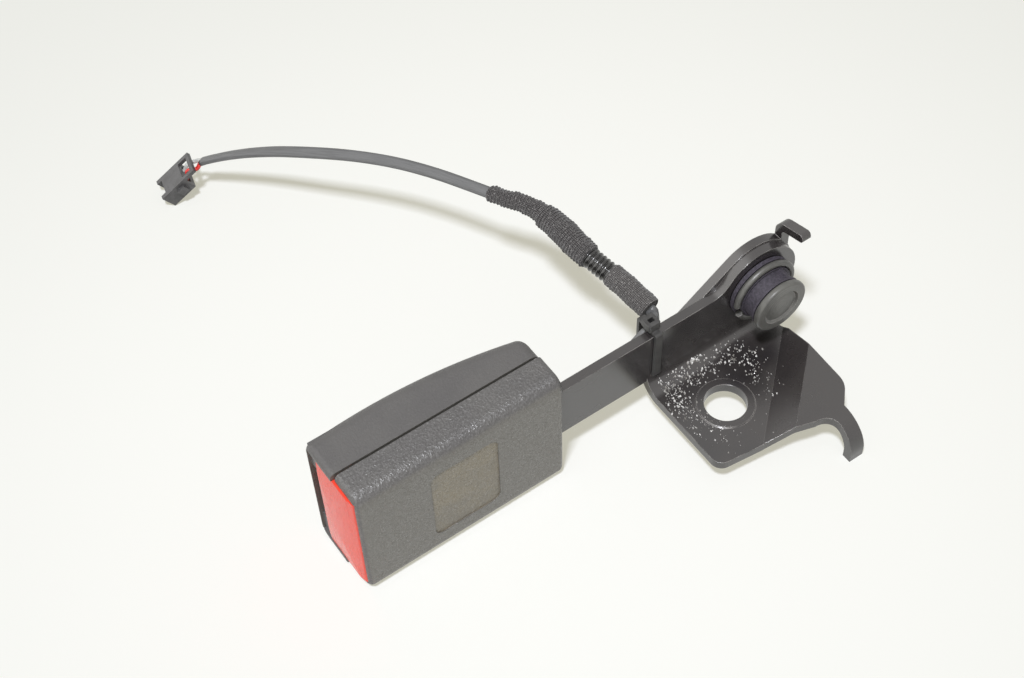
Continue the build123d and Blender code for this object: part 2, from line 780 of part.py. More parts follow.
# ================================================================ steel frame
frame_low_z = strap_mid_z - frame_width / 2
with BuildPart() as buckle_frame:
    # Channel: base against the strap, two side walls
    with BuildSketch(across(frame_front_x)):
        with Locations((frame_near_y, strap_mid_z)):
            Rectangle(frame_top_y - frame_near_y, frame_width, align=(Align.MIN, Align.CENTER))
        with Locations((frame_base_far_y, strap_mid_z)):
            Rectangle(
                frame_top_y - frame_near_y,
                frame_width - 2 * frame_sheet,
                align=(Align.MIN, Align.CENTER),
                mode=Mode.SUBTRACT,
            )
    extrude(amount=frame_rear_x - frame_front_x)
    outer_folds = buckle_frame.edges().filter_by(Axis.X).group_by(Axis.Y)[0]
    fillet(outer_folds, frame_sheet * 0.8)
    # The walls come down towards the rear, under the housing's arch
    with BuildSketch(level(frame_low_z)):
        with BuildLine():
            Polyline(
                (frame_rear_x, frame_rear_top_y),
                (frame_rear_x, frame_top_y),
                (crown_x, frame_top_y),
                close=True,
            )
        make_face()
    extrude(amount=frame_width, mode=Mode.SUBTRACT)
    # The base runs on behind the walls as a narrower tail, riveted to the strap
    with BuildSketch(facing_near(frame_near_y)):
        for side in (-1, 1):
            with Locations((frame_walls_rear_x, strap_mid_z + side * frame_tail_width / 2)):
                Rectangle(
                    frame_rear_x - frame_walls_rear_x,
                    frame_width,
                    align=(Align.MIN, Align.MIN if side > 0 else Align.MAX),
                )
    extrude(amount=-(frame_top_y - frame_near_y), mode=Mode.SUBTRACT)
    # Ejector slots, open arcs for the latch's ears, and the latch pin's holes
    with BuildSketch(level(frame_low_z)):
        slot_front_x = ejector_front_x - slide_gap
        slot_rear_x = ejector_front_x + ejector_length + ejector_travel + slide_gap
        with Locations(
            ((slot_front_x + slot_rear_x) / 2, (ejector_ear_near_y + ejector_ear_far_y) / 2)
        ):
            Rectangle(
                slot_rear_x - slot_front_x,
                ejector_ear_far_y - ejector_ear_near_y + 2 * slide_gap,
            )
        ear_drop = (latch_pin_x - ear_x) * math.sin(math.radians(latch_drop_deg))
        with Locations((ear_x, latch_mid_y - ear_drop / 2)):
            SlotOverall(ear_drop + 2 * ear_r + 2 * slide_gap, 2 * ear_r + 2 * slide_gap, rotation=90)
        with Locations((latch_pin_x, latch_mid_y)):
            Circle(latch_pin_r)
    extrude(amount=frame_width, mode=Mode.SUBTRACT)
    # Rivet holes in the base
    with Locations(*[facing_near(frame_near_y).offset(1) * Pos(x, strap_mid_z, 0) for x in rivet_xs]):
        Hole(rivet_r, depth=2 * frame_sheet)

save(buckle_frame, "buckle_frame")

with BuildPart() as frame_rivets:
    for x in rivet_xs:
        with BuildSketch(Plane(origin=(x, 0, strap_mid_z), x_dir=(0, 1, 0), z_dir=(1, 0, 0))):
            with BuildLine():
                Polyline(
                    (strap_near_y - rivet_button, 0),
                    (strap_near_y - rivet_button, rivet_button_r * 0.6),
                    (strap_near_y - rivet_button * 0.3, rivet_button_r),
                    (strap_near_y, rivet_button_r),
                    (strap_near_y, rivet_r),
                    (frame_base_far_y, rivet_r),
                    (frame_base_far_y, rivet_button_r),
                    (frame_base_far_y + rivet_button * 0.7, rivet_button_r),
                    (frame_base_far_y + rivet_button, rivet_button_r * 0.6),
                    (frame_base_far_y + rivet_button, 0),
                    close=True,
                )
            make_face()
        revolve(axis=Axis((x, 0, strap_mid_z), (0, 1, 0)))

save(frame_rivets, "frame_rivets")

# ================================================================ latch and ejector
with BuildPart() as latch_pin:
    with BuildSketch(level(frame_low_z - latch_pin_reach)):
        with Locations((latch_pin_x, latch_mid_y)):
            Circle(latch_pin_r)
    extrude(amount=frame_width + 2 * latch_pin_reach)

save(latch_pin, "latch_pin")

with BuildPart() as latch_plate:
    # Side section: a pin eye at the rear, a flat lever, and the nose turned up in front
    with BuildSketch(level(strap_mid_z - latch_width / 2)) as latch_section:
        with BuildLine():
            Polyline(
                (latch_pin_x, latch_mid_y - latch_sheet / 2),
                (latch_front_x, latch_mid_y - latch_sheet / 2),
                (latch_front_x, nose_top_y - nose_chamfer),
                (latch_front_x + nose_chamfer, nose_top_y),
                (latch_front_x + nose_length, nose_top_y),
                (latch_front_x + nose_length, latch_mid_y + latch_sheet / 2),
                (latch_pin_x, latch_mid_y + latch_sheet / 2),
                close=True,
            )
        make_face()
        with Locations((latch_pin_x, latch_mid_y)):
            Circle(latch_pin_r + latch_eye_wall)
            Circle(latch_pin_r + pin_gap, mode=Mode.SUBTRACT)
    extrude(amount=latch_width)
    # Ears that stand out through the frame's walls
    with BuildSketch(level(strap_mid_z - leg_offset - leg_thickness / 2)):
        with Locations((ear_x, latch_mid_y)):
            Circle(ear_r)
    extrude(amount=2 * leg_offset + leg_thickness)

save(latch_plate, "latch_plate")

with BuildPart() as ejector:
    ejector_half = frame_wall_z - slide_gap
    with BuildSketch(level(strap_mid_z - ejector_half)):
        with Locations((ejector_front_x, ejector_near_y)):
            Rectangle(
                ejector_length, ejector_far_y - ejector_near_y, align=(Align.MIN, Align.MIN)
            )
    extrude(amount=2 * ejector_half)
    with BuildSketch(level(strap_mid_z - frame_width / 2 + slide_gap)):
        with Locations((ejector_front_x + slide_gap, ejector_ear_near_y)):
            Rectangle(
                ejector_length - 2 * slide_gap,
                ejector_ear_far_y - ejector_ear_near_y,
                align=(Align.MIN, Align.MIN),
            )
    extrude(amount=frame_width - 2 * slide_gap)

save(ejector, "ejector")

# ================================================================ springs


def coil(start, length, mean_r, turns):
    """A round-wire compression spring along +X, of open coils between two seats."""
    room = length - 2 * wire_r - 2 * coil_end_gap
    with BuildPart() as spring:
        with BuildLine():
            wire = Helix(
                pitch=room / turns,
                height=room,
                radius=mean_r,
                center=(start[0] + wire_r + coil_end_gap, start[1], start[2]),
                direction=(1, 0, 0),
            )
        with BuildSketch(Plane(origin=wire @ 0, z_dir=wire % 0)):
            Circle(wire_r)
        sweep(path=wire, is_frenet=True)
    return spring


ejector_rear_x = ejector_front_x + ejector_length
with BuildPart() as ejector_spring:
    add(
        coil(
            (ejector_rear_x, (ejector_near_y + ejector_far_y) / 2, strap_mid_z),
            spring_seat_x - ejector_rear_x,
            ejector_spring_r,
            spring_turns,
        ).part
    )

save(ejector_spring, "ejector_spring")

button_spring_front_x = buckle_front_x + button_wall
with BuildPart() as button_springs:
    for side in (-1, 1):
        add(
            coil(
                (button_spring_front_x, button_spring_y, strap_mid_z + side * button_spring_z),
                button_spring_seat_x - button_spring_front_x,
                button_spring_r - wire_r,
                spring_turns,
            ).part
        )

save(button_springs, "button_springs")

with BuildPart() as latch_spring:
    # A leaf, held at the frame's base and bowed up to the lever
    leaf_top_y = latch_mid_y - latch_sheet / 2
    with BuildSketch(level(strap_mid_z - leaf_width / 2)):
        with BuildLine():
            Polyline(
                (latch_pin_x - leaf_feet[0], frame_base_far_y + leaf_sheet / 2),
                (latch_pin_x - leaf_feet[1], frame_base_far_y + leaf_sheet / 2),
                (latch_pin_x - leaf_heads[0], leaf_top_y - leaf_sheet / 2),
                (latch_pin_x - leaf_heads[1], leaf_top_y - leaf_sheet / 2),
            )
        trace(line_width=leaf_sheet)
    extrude(amount=leaf_width)

save(latch_spring, "latch_spring")

# ================================================================ switch and its lead
switch_top_z = strap_mid_z - frame_width / 2 - switch_gap
switch_low_z = cavity_low_z + switch_wall_gap
with BuildPart() as buckle_switch:
    with BuildSketch(level(switch_low_z)):
        with Locations((switch_rear_x, switch_near_y)):
            Rectangle(switch_size[0], switch_size[1], align=(Align.MAX, Align.MIN))
    extrude(amount=switch_top_z - switch_low_z)
    chamfer(buckle_switch.edges().filter_by(Axis.X), switch_chamfer)

save(buckle_switch, "buckle_switch")


def arc_radii(points, share=0.45):
    """The largest radius that each corner's two runs leave room for."""
    corners = [Vector(*p) for p in points]
    radii = []
    for before, here, after in zip(corners, corners[1:], corners[2:]):
        turn = math.radians((here - before).get_angle(after - here))
        run = min((here - before).length, (after - here).length)
        radii.append(share * run / math.tan(turn / 2))
    return radii


def cord(points, diameter):
    """A round tube along straight runs joined by tangent arcs."""
    radii = arc_radii(points)
    with BuildPart() as tube:
        with BuildLine() as route:
            if len(points) > 2:
                FilletPolyline(*points, radius=radii)
            else:
                Line(*points)
        path = route.wire()
        with BuildSketch(Plane(origin=path @ 0, z_dir=path % 0)):
            Circle(diameter / 2)
        sweep(path=path)
    share = tube.part.volume / (math.pi * diameter**2 / 4 * path.length)
    rounded = [round(radius, 1) for radius in radii]
    print(f"cord {diameter} mm, {path.length:.1f} long, radii {rounded}, volume {share:.4f} of its section")
    return tube


# The lead from the switch, out along the strap's far face and up into its sleeve
lead_run = [
    (-74.0, 27.0, -0.9),
    (-70.0, 27.0, -0.9),
    (-66.0, 26.7, -0.7),
    (-62.3, 25.9, 0.9),
    (-58.6, 24.8, 4.3),
    (-55.0, 24.4, 5.7),
    (-49.0, 24.4, 6.5),
    (-42.0, 24.3, 8.4),
    (-33.6, 24.4, 12.2),
    (-26.0, 24.6, 16.4),
    (-19.4, 24.7, 20.8),
    (-14.0, 24.8, 24.6),
    (-10.6, 24.8, 26.1),
    (-8.9, 25.85, 26.5),
    (-8.04, 27.65, 26.86),
    (-8.3, 29.6, 27.2),
]
# The free run, from the sleeve's end beside the tie to the connector
free_run = [
    (-8.3, 29.6, 27.2),
    (-9.0, 34.8, 28.1),
    (-10.1, 41.6, 29.4),
    (-12.2, 50.4, 30.6),
    (-13.6, 59.6, 31.4),
    (-14.0, 70.5, 32.3),
    (-16.6, 82.0, 33.1),
    (-22.0, 89.5, 33.3),
    (-26.6, 98.6, 33.1),
    (-32.9, 111.4, 32.4),
    (-40.6, 124.3, 31.4),
    (-49.9, 137.0, 29.6),
    (-59.6, 149.2, 26.6),
    (-68.2, 161.4, 22.0),
    (-76.4, 172.8, 15.9),
    (-83.6, 182.6, 8.9),
]


def middle(i):
    """The middle of the free run's stretch from point i to the next."""
    return tuple((a + b) / 2 for a, b in zip(free_run[i], free_run[i + 1]))


save(cord(lead_run, lead_d), "switch_lead")
save(cord(free_run[0:3] + [middle(2)], wrap_a_d), "cloth_wrap_a")
save(cord([middle(2), free_run[3], middle(3)], conduit_d), "convoluted_tube")
save(cord([middle(3)] + free_run[4:6] + [middle(5)], wrap_b_d), "cloth_wrap_b")
save(cord([middle(5)] + free_run[6:8] + [middle(7)], wrap_c_d), "cloth_wrap_c")
save(cord([middle(7)] + free_run[8:], lead_d), "lead_jacket")

# ================================================================ cable tie
with BuildPart() as cable_tie:
    tie_low_z = tie_slot_z
    tie_far_y = tie_lead_y + lead_d / 2 + tie_gap
    with BuildSketch(across(tie_x - tie_width / 2)):
        with Locations((strap_near_y - tie_gap - tie_band, tie_low_z)):
            Rectangle(
                tie_far_y - strap_near_y + tie_gap + 2 * tie_band,
                strap_top_z + tie_gap + tie_band - tie_low_z,
                align=(Align.MIN, Align.MIN),
            )
        with Locations((strap_near_y - tie_gap, tie_low_z + tie_band)):
            Rectangle(
                tie_far_y - strap_near_y + tie_gap,
                strap_top_z + tie_gap - tie_low_z - tie_band,
                align=(Align.MIN, Align.MIN),
                mode=Mode.SUBTRACT,
            )
    extrude(amount=tie_width)
    band_corners = cable_tie.edges().filter_by(Axis.X).filter_by(
        lambda edge: not strap_near_y - 2 * tie_gap < edge.center().Y < tie_far_y + tie_gap
    )
    fillet(band_corners, tie_band * 0.8)
    # Ratchet head on top, with its square window
    with BuildSketch(level(strap_top_z + tie_gap + tie_band)):
        with Locations((tie_x, tie_head_y)):
            RectangleRounded(tie_head[0], tie_head[1], 0.6)
            Rectangle(*tie_window, mode=Mode.SUBTRACT)
    extrude(amount=tie_head[2])

save(cable_tie, "cable_tie")

# ================================================================ connector
plug_axis = (Vector(*plug_mouth) - Vector(*plug_rear)).normalized()
plug_length = (Vector(*plug_mouth) - Vector(*plug_rear)).length
plug_side = plug_axis.cross(Vector(0, 0, 1)).normalized()
plug_plane = Plane(origin=plug_rear, x_dir=plug_side, z_dir=plug_axis)

plug_body_start = plug_length - plug_body
terminal_start = plug_body_start + terminal_inset

with BuildPart() as connector_housing:
    with BuildSketch(plug_plane.offset(plug_body_start)):
        Rectangle(plug_width, plug_height)
        # Two cavities for the terminals, through the body
        with GridLocations(plug_pitch, 1, 2, 1):
            Rectangle(plug_cavity, plug_cavity, mode=Mode.SUBTRACT)
    extrude(amount=plug_body)
    # Side prongs that guide it into its mate
    with BuildSketch(plug_plane.offset(plug_length)):
        for side in (-1, 1):
            with Locations((side * (plug_width - plug_prong) / 2, 0)):
                Rectangle(plug_prong, plug_height)
    extrude(amount=plug_prong_length)
    # Latch tab on one side
    with BuildSketch(plug_plane.offset(plug_body_start + plug_prong)):
        with Locations((-(plug_width + plug_tab[0]) / 2, 0)):
            Rectangle(plug_tab[0], plug_tab[1])
    extrude(amount=plug_tab[2])
    # Guard loop behind the body, over the wires
    latch_side = -1 if plug_plane.y_dir.Z < 0 else 1
    guard_y = latch_side * (plug_height - plug_guard) / 2
    with BuildSketch(plug_plane):
        for side in (-1, 1):
            with Locations((side * (plug_width - plug_guard) / 2, guard_y)):
                Rectangle(plug_guard, plug_guard)
    extrude(amount=plug_body_start)
    with BuildSketch(plug_plane):
        with Locations((0, guard_y)):
            Rectangle(plug_width, plug_guard)
    extrude(amount=plug_guard)

save(connector_housing, "connector_housing")

with BuildPart() as terminals:
    terminal_size = plug_cavity - 2 * terminal_gap
    with BuildSketch(plug_plane.offset(terminal_start)):
        with GridLocations(plug_pitch, 1, 2, 1):
            RectangleRounded(terminal_size, terminal_size, 0.5)
            RectangleRounded(
                terminal_size - 2 * terminal_wall, terminal_size - 2 * terminal_wall, 0.3,
                mode=Mode.SUBTRACT,
            )
    extrude(amount=terminal_length)

save(terminals, "terminals")

# Each wire leaves the jacket, bends a little and runs into its cavity up to the terminal
jacket_end = Vector(*free_run[-1])
jacket_axis = (jacket_end - Vector(*free_run[-2])).normalized()
jacket_side = jacket_axis.cross(Vector(0, 0, 1)).normalized()
for name, side in (("wire_red", -1), ("wire_white", 1)):
    start = jacket_end + jacket_side * (side * wire_d * 0.52)
    entry = Vector(*plug_rear) + plug_side * (side * plug_pitch / 2)
    wire_run = [
        start,
        start + jacket_axis * wire_lead_out,
        entry - plug_axis * wire_lead_out,
        entry + plug_axis * (terminal_start - coil_end_gap),
    ]
    save(cord([tuple(point) for point in wire_run], wire_d), name)
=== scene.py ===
"""Seat belt buckle on a steel stalk: finishes for its CAD pieces, and the soft pieces on its lead.

Everything is in metres in the part's own frame. The origin is the centre of the anchor bolt
hole on the underside of the base plate, +X runs from the buckle to the lug, +Y from the near
broad face of the housing to the far one, and +Z is up out of the bolt hole.
"""

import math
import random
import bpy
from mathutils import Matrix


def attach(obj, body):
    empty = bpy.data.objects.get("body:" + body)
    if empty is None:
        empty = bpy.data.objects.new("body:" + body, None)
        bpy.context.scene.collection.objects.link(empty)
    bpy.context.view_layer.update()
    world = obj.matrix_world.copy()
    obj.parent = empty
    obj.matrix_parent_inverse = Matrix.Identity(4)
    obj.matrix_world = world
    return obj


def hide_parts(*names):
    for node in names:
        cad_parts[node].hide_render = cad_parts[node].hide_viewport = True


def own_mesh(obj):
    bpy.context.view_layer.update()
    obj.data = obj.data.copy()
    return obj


bl_info = {
    "name": "Seat belt buckle finishes",
    "version": (1, 0, 0),
    "blender": (4, 5, 0),
    "location": "3D View > Sidebar > Buckle",
    "description": "Dresses the seat belt buckle's CAD pieces and makes its lead and sleeves",
    "category": "Object",
}

import bmesh
import bpy
from mathutils import Matrix, Vector, noise
from mathutils.bvhtree import BVHTree

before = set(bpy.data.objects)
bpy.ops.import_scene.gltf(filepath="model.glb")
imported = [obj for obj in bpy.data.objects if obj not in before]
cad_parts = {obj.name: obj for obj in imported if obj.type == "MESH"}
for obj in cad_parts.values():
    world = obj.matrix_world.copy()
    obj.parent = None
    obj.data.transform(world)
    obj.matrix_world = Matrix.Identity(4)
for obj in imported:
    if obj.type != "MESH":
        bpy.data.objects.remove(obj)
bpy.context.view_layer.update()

MM = 0.001

# Settings that many nodes share: how fine a noise is, a smooth ramp, a mix of two colours, and the
# samples of a rounded edge
SOFT, CLOUDY, FINE = ({"Detail": detail, "Roughness": 0.6} for detail in (2.0, 3.0, 4.0))
SMOOTH = {"interpolation_type": "SMOOTHSTEP"}
COLOUR = {"output": 2, "data_type": "RGBA"}
BEVEL_SAMPLES = 4

# The near shell's bare label field, in millimetres: its bounds on each axis, and how soft they are
LABEL_FIELD = (("X", -99.9, -76.0), ("Z", 1.6, 34.0), ("Y", 14.3, 14.8))
LABEL_BLUR = 0.15
# The shift that brings the stud's axis to the origin, for the rings on its cap
STUD_TO_ORIGIN = (-0.0270, 0.0, -0.0238)

# Control points of the lead behind the strap, and of its free run from the tie to the connector
HELD_ROUTE = [
    (-0.074, 0.027, -0.0009), (-0.07, 0.027, -0.0009), (-0.066, 0.0267, -0.0007),
    (-0.0623, 0.0259, 0.0009), (-0.0586, 0.0248, 0.0043), (-0.055, 0.0244, 0.0057),
    (-0.049, 0.0244, 0.0065), (-0.042, 0.0243, 0.0084), (-0.0336, 0.0244, 0.0122),
    (-0.026, 0.0246, 0.0164), (-0.0194, 0.0247, 0.0208), (-0.014, 0.0248, 0.0246),
    (-0.0106, 0.0248, 0.0261), (-0.0089, 0.02585, 0.0265), (-0.00804, 0.02765, 0.02686),
    (-0.0083, 0.0296, 0.0272),
]
FREE_ROUTE = [
    (-0.0083, 0.0296, 0.0272), (-0.009, 0.0348, 0.0281), (-0.0101, 0.0416, 0.0294),
    (-0.0122, 0.0504, 0.0306), (-0.0136, 0.0596, 0.0314), (-0.014, 0.0705, 0.0323),
    (-0.0166, 0.082, 0.0331), (-0.022, 0.0895, 0.0333), (-0.0266, 0.0986, 0.0331),
    (-0.0329, 0.1114, 0.0324), (-0.0406, 0.1243, 0.0314), (-0.0499, 0.137, 0.0296),
    (-0.0596, 0.1492, 0.0266), (-0.0682, 0.1614, 0.022), (-0.0764, 0.1728, 0.0159),
    (-0.0836, 0.1826, 0.0089), (-0.0848, 0.1842, 0.0074),
]
# Runs of the free route on which one sleeve ends and the next begins, at their middles
TUBE_STARTS_ON = 2
TUBE_ENDS_ON = 3
THICK_WRAP_ENDS_ON = 5
THIN_WRAP_ENDS_ON = 7

# How far the sleeves reach under or over each other, so that no gap shows
THICK_TUCK, THIN_TUCK = 0.3 * MM, 1.0 * MM
TUBE_TUCK_NEAR, TUBE_TUCK_FAR = 1.0 * MM, 0.5 * MM

# The jacket's section: depth and width of the valley between its cores, as shares, and how square
# its cores are
VALLEY_DEPTH, VALLEY_WIDTH = 0.16, 0.22
CORE_SQUARENESS = 0.62
# The directions that the broad side of the held and of the free lead faces
HELD_FACES, JACKET_FACES = Vector((0.0, 1.0, 0.0)), Vector((-0.3232, -0.4977, 0.8049))
# Where the flat jacket begins to turn on edge, as a share of its length, and how far it turns
TWIST_FROM = 0.62
TWIST = math.radians(58)

# How fine each tube's mesh is: the distance between its rings, and the points of a ring
HELD_MESH, JACKET_MESH, WIRE_MESH = (0.8 * MM, 28), (1.0 * MM, 28), (0.3 * MM, 20)
WRAP_MESH, RIBBED_MESH = (0.16 * MM, 72), (0.1 * MM, 48)

# Tape wound round the lead: how far its turns step up where they lap, the slant and pitch of its
# crepe, its lumps and threads, how far it sinks into itself, and how its ends round down
LAP_STEP = 0.28 * MM
CREPE_SLANT, CREPE_PITCH = 0.35 * MM, 1.15 * MM
LUMP_HEIGHT, LUMP_LENGTH = 0.2 * MM, 2.4 * MM
THREAD_HEIGHT, THREAD_LENGTH = 0.07 * MM, 0.35 * MM
TAPE_SINK = 0.25 * MM
END_DROP, END_LENGTH = 0.45 * MM, 0.7 * MM

# Middles of the connector's rear and mouth, how far off its middle each wire lies in it, and how
# high each wire rises in its loop, in millimetres
CONNECTOR_REAR = Vector((-0.0865, 0.1862, 0.0052))
CONNECTOR_MOUTH = Vector((-0.0973, 0.1889, -0.0033))
WIRE_LANE = 2.0 * MM
# Where a wire leaves the jacket: how far it lies off the jacket's middle, across and up
CORE_ACROSS, CORE_UP = -0.45 * MM, -0.6 * MM
RED_RISE, WHITE_RISE = 3.0, 1.3
# A wire's points past the connector's rear: millimetres forward, and share of its rise there
WIRE_LOOP = ((0.6, 0.0), (2.6, 1.0), (4.6, 0.3), (5.6, 0.0), (6.2, 0.0))

# Road grit on the base plate, and one dense patch of large pale grains that paints a glint in the fold:
# each patch's centre and spread in millimetres, its number of grains and how much larger than the mean they
# are. A grain then draws its size from the shares below
GRIT_AND_GLINT_PATCHES = (
    (-11.0, 13.0, 2.4, 4.0, 120, 1.1),
    (-12.0, 5.0, 2.2, 4.5, 100, 1.0),
    (-4.0, 15.0, 4.0, 2.6, 120, 1.2),
    # Painted highlight: this dense patch of large pale grains stands in for a glint in the fold
    (1.0, 18.2, 1.8, 0.7, 60, 1.5),
    (8.0, 15.0, 4.5, 2.8, 100, 1.2),
    (17.0, 11.0, 3.0, 4.5, 80, 1.2),
    (14.0, 2.0, 2.5, 4.5, 50, 1.0),
    (-9.0, -3.0, 3.0, 4.0, 80, 0.8),
    (0.0, -8.0, 9.0, 7.0, 70, 0.5),
)
GRAIN_SHARES = (0.4, 0.5, 0.5, 0.65, 0.9, 1.3)
# How far a grain's corners are pushed about, and how high it lies, as shares of its width
GRAIN_DENT, GRAIN_LIFT = 0.22, 0.15
# Grains stay only where the steel's normal points up by at least this
LEVEL_ENOUGH = 0.5
# The Y of the plate's fold, past which no grain lies, and the height from which grains are dropped
GRIT_FOLD_Y = 0.0196
GRIT_DROP_Z = 0.012

# The floor's height, and the point below the object from which its painted falloff of light spreads
FLOOR_Z = -0.0072
FLOOR_MIDDLE = (-0.03, 0.05, FLOOR_Z)

# The camera: where it stands, its directions, and its lens and sensor in millimetres
CAMERA_PLACE = Vector((-0.2230, -0.2219, 0.4593))
CAMERA_RIGHT = Vector((0.8189, -0.5733, -0.0257))
CAMERA_FORWARD = Vector((0.3232, 0.4977, -0.8049))
CAMERA_LENS = 61.5
CAMERA_SENSOR = 36.0

# The one lamp: a square softbox overhead, a little towards the camera
LAMP_AIM = Vector((-0.03, 0.07, 0.01))
LAMP_DIRECTION = Vector((-0.30, -0.25, 1.0)).normalized()
LAMP_DISTANCE = 1.6
LAMP_SIZE = 0.17
LAMP_WATTS = 23.6
LAMP_COLOUR = (0.92, 0.94, 1.0)
ROOM_STRENGTH = 0.22
# The tent that a gloss shows: its strengths, and the rays' X where each of them is reached
TENT_BRIGHT, TENT_PLAIN = 2.0, 0.95
TENT_BRIGHT_AT, TENT_PLAIN_AT = -0.30, 0.15


# ---------------- colours and nodes
def linear(hex_colour):
    """An sRGB hex colour such as "#5d5b5a" as linear red, green, blue and alpha."""
    channels = [int(hex_colour[i:i + 2], 16) / 255 for i in (1, 3, 5)]
    return tuple(c / 12.92 if c <= 0.04045 else ((c + 0.055) / 1.055) ** 2.4 for c in channels) + (1.0,)


def add_node(tree, kind, links=None, output=0, **settings):
    """Adds a node with its settings and links, and returns one of its outputs.

    links gives each input a socket, a number or a hex colour. A node without outputs gives None."""
    node = tree.nodes.new("ShaderNode" + kind)
    for name, value in settings.items():
        setattr(node, name, value)
    for name, value in (links or {}).items():
        if isinstance(value, bpy.types.NodeSocket):
            tree.links.new(value, node.inputs[name])
        else:
            node.inputs[name].default_value = linear(value) if isinstance(value, str) else value
    return node.outputs[output] if node.outputs else None


def start_material(name):
    """A new material and its empty tree."""
    material = bpy.data.materials.new(name)
    material.use_nodes = True
    material.node_tree.nodes.clear()
    return material, material.node_tree


def end_material(tree, **inputs):
    """Ends a tree in a shader with those inputs, whose names have _ for a space, and the output."""
    links = {name.replace("_", " "): value for name, value in inputs.items()}
    shader = add_node(tree, "BsdfPrincipled", links)
    add_node(tree, "OutputMaterial", {"Surface": shader})


def object_place(tree, scale=(1.0, 1.0, 1.0)):
    """Object coordinates, stretched by scale."""
    place = add_node(tree, "TexCoord", output="Object")
    return add_node(tree, "Mapping", {"Vector": place, "Scale": scale})


def spots(size_mm):
    """The scale of a noise whose spots are about that many millimetres across."""
    return 0.5 / (size_mm * MM)


def mottled(tree, pattern, low, high, first, second):
    """The first colour where the pattern is under low, the second where it is over high."""
    share = add_node(tree, "MapRange", {"Value": pattern, "From Min": low, "From Max": high}, **SMOOTH)
    return add_node(tree, "Mix", {0: share, 6: first, 7: second}, **COLOUR)


def relief(tree, height, depth, strength, edge_radius=None):
    """The normal of a surface with that relief, rounded over its edges where a radius is given."""
    links = {"Height": height, "Distance": depth, "Strength": strength}
    if edge_radius is not None:
        links["Normal"] = add_node(tree, "Bevel", {"Radius": edge_radius}, samples=BEVEL_SAMPLES)
    return add_node(tree, "Bump", links)


def worn_and_highlit_edges(tree, radius, place, patch_mm, low, high):
    """1 on sharp edges in patches of a noise, and 0 on flats and between the patches: the mask of the pale
    edges, which are partly rubbed, thin coat and partly a painted edge highlight.
    """
    face = add_node(tree, "NewGeometry", output="Normal")
    rounded = add_node(tree, "Bevel", {"Radius": radius}, samples=BEVEL_SAMPLES)
    alike = add_node(tree, "VectorMath", {0: rounded, 1: face}, output="Value", operation="DOT_PRODUCT")
    turned = add_node(tree, "Math", {0: 1.0, 1: alike}, operation="SUBTRACT")
    edge = add_node(tree, "MapRange", {"Value": turned, "From Min": 0.01, "From Max": 0.12}, **SMOOTH)
    patches = add_node(tree, "TexNoise", {"Vector": place, "Scale": spots(patch_mm), **CLOUDY})
    patchy = add_node(tree, "MapRange", {"Value": patches, "From Min": low, "From Max": high}, **SMOOTH)
    return add_node(tree, "Math", {0: edge, 1: patchy}, operation="MULTIPLY")


def seen_ray(tree):
    """1 for rays from the eye, a gloss or a clear piece, and 0 for those that only carry light."""
    path = add_node(tree, "LightPath").node.outputs
    seen = add_node(tree, "Math", {0: path["Is Camera Ray"], 1: path["Is Glossy Ray"]}, operation="MAXIMUM")
    return add_node(tree, "Math", {0: seen, 1: path["Is Transmission Ray"]}, operation="MAXIMUM")


# ---------------- finishes
def label_field_share(tree):
    """1 inside the bare label field of the near shell, and 0 outside it."""
    where = add_node(tree, "SeparateXYZ", {"Vector": object_place(tree)}).node.outputs
    field = None
    for axis, low, high in LABEL_FIELD:
        rise, fall = (add_node(tree, "MapRange",
                               {"Value": where[axis], "From Min": (edge - LABEL_BLUR) * MM,
                                "From Max": (edge + LABEL_BLUR) * MM, "To Min": before, "To Max": after},
                               **SMOOTH)
                      for edge, before, after in ((low, 0.0, 1.0), (high, 1.0, 0.0)))
        inside = add_node(tree, "Math", {0: rise, 1: fall}, operation="MULTIPLY")
        if field is None:
            field = inside
        else:
            field = add_node(tree, "Math", {0: field, 1: inside}, operation="MULTIPLY")
    return field


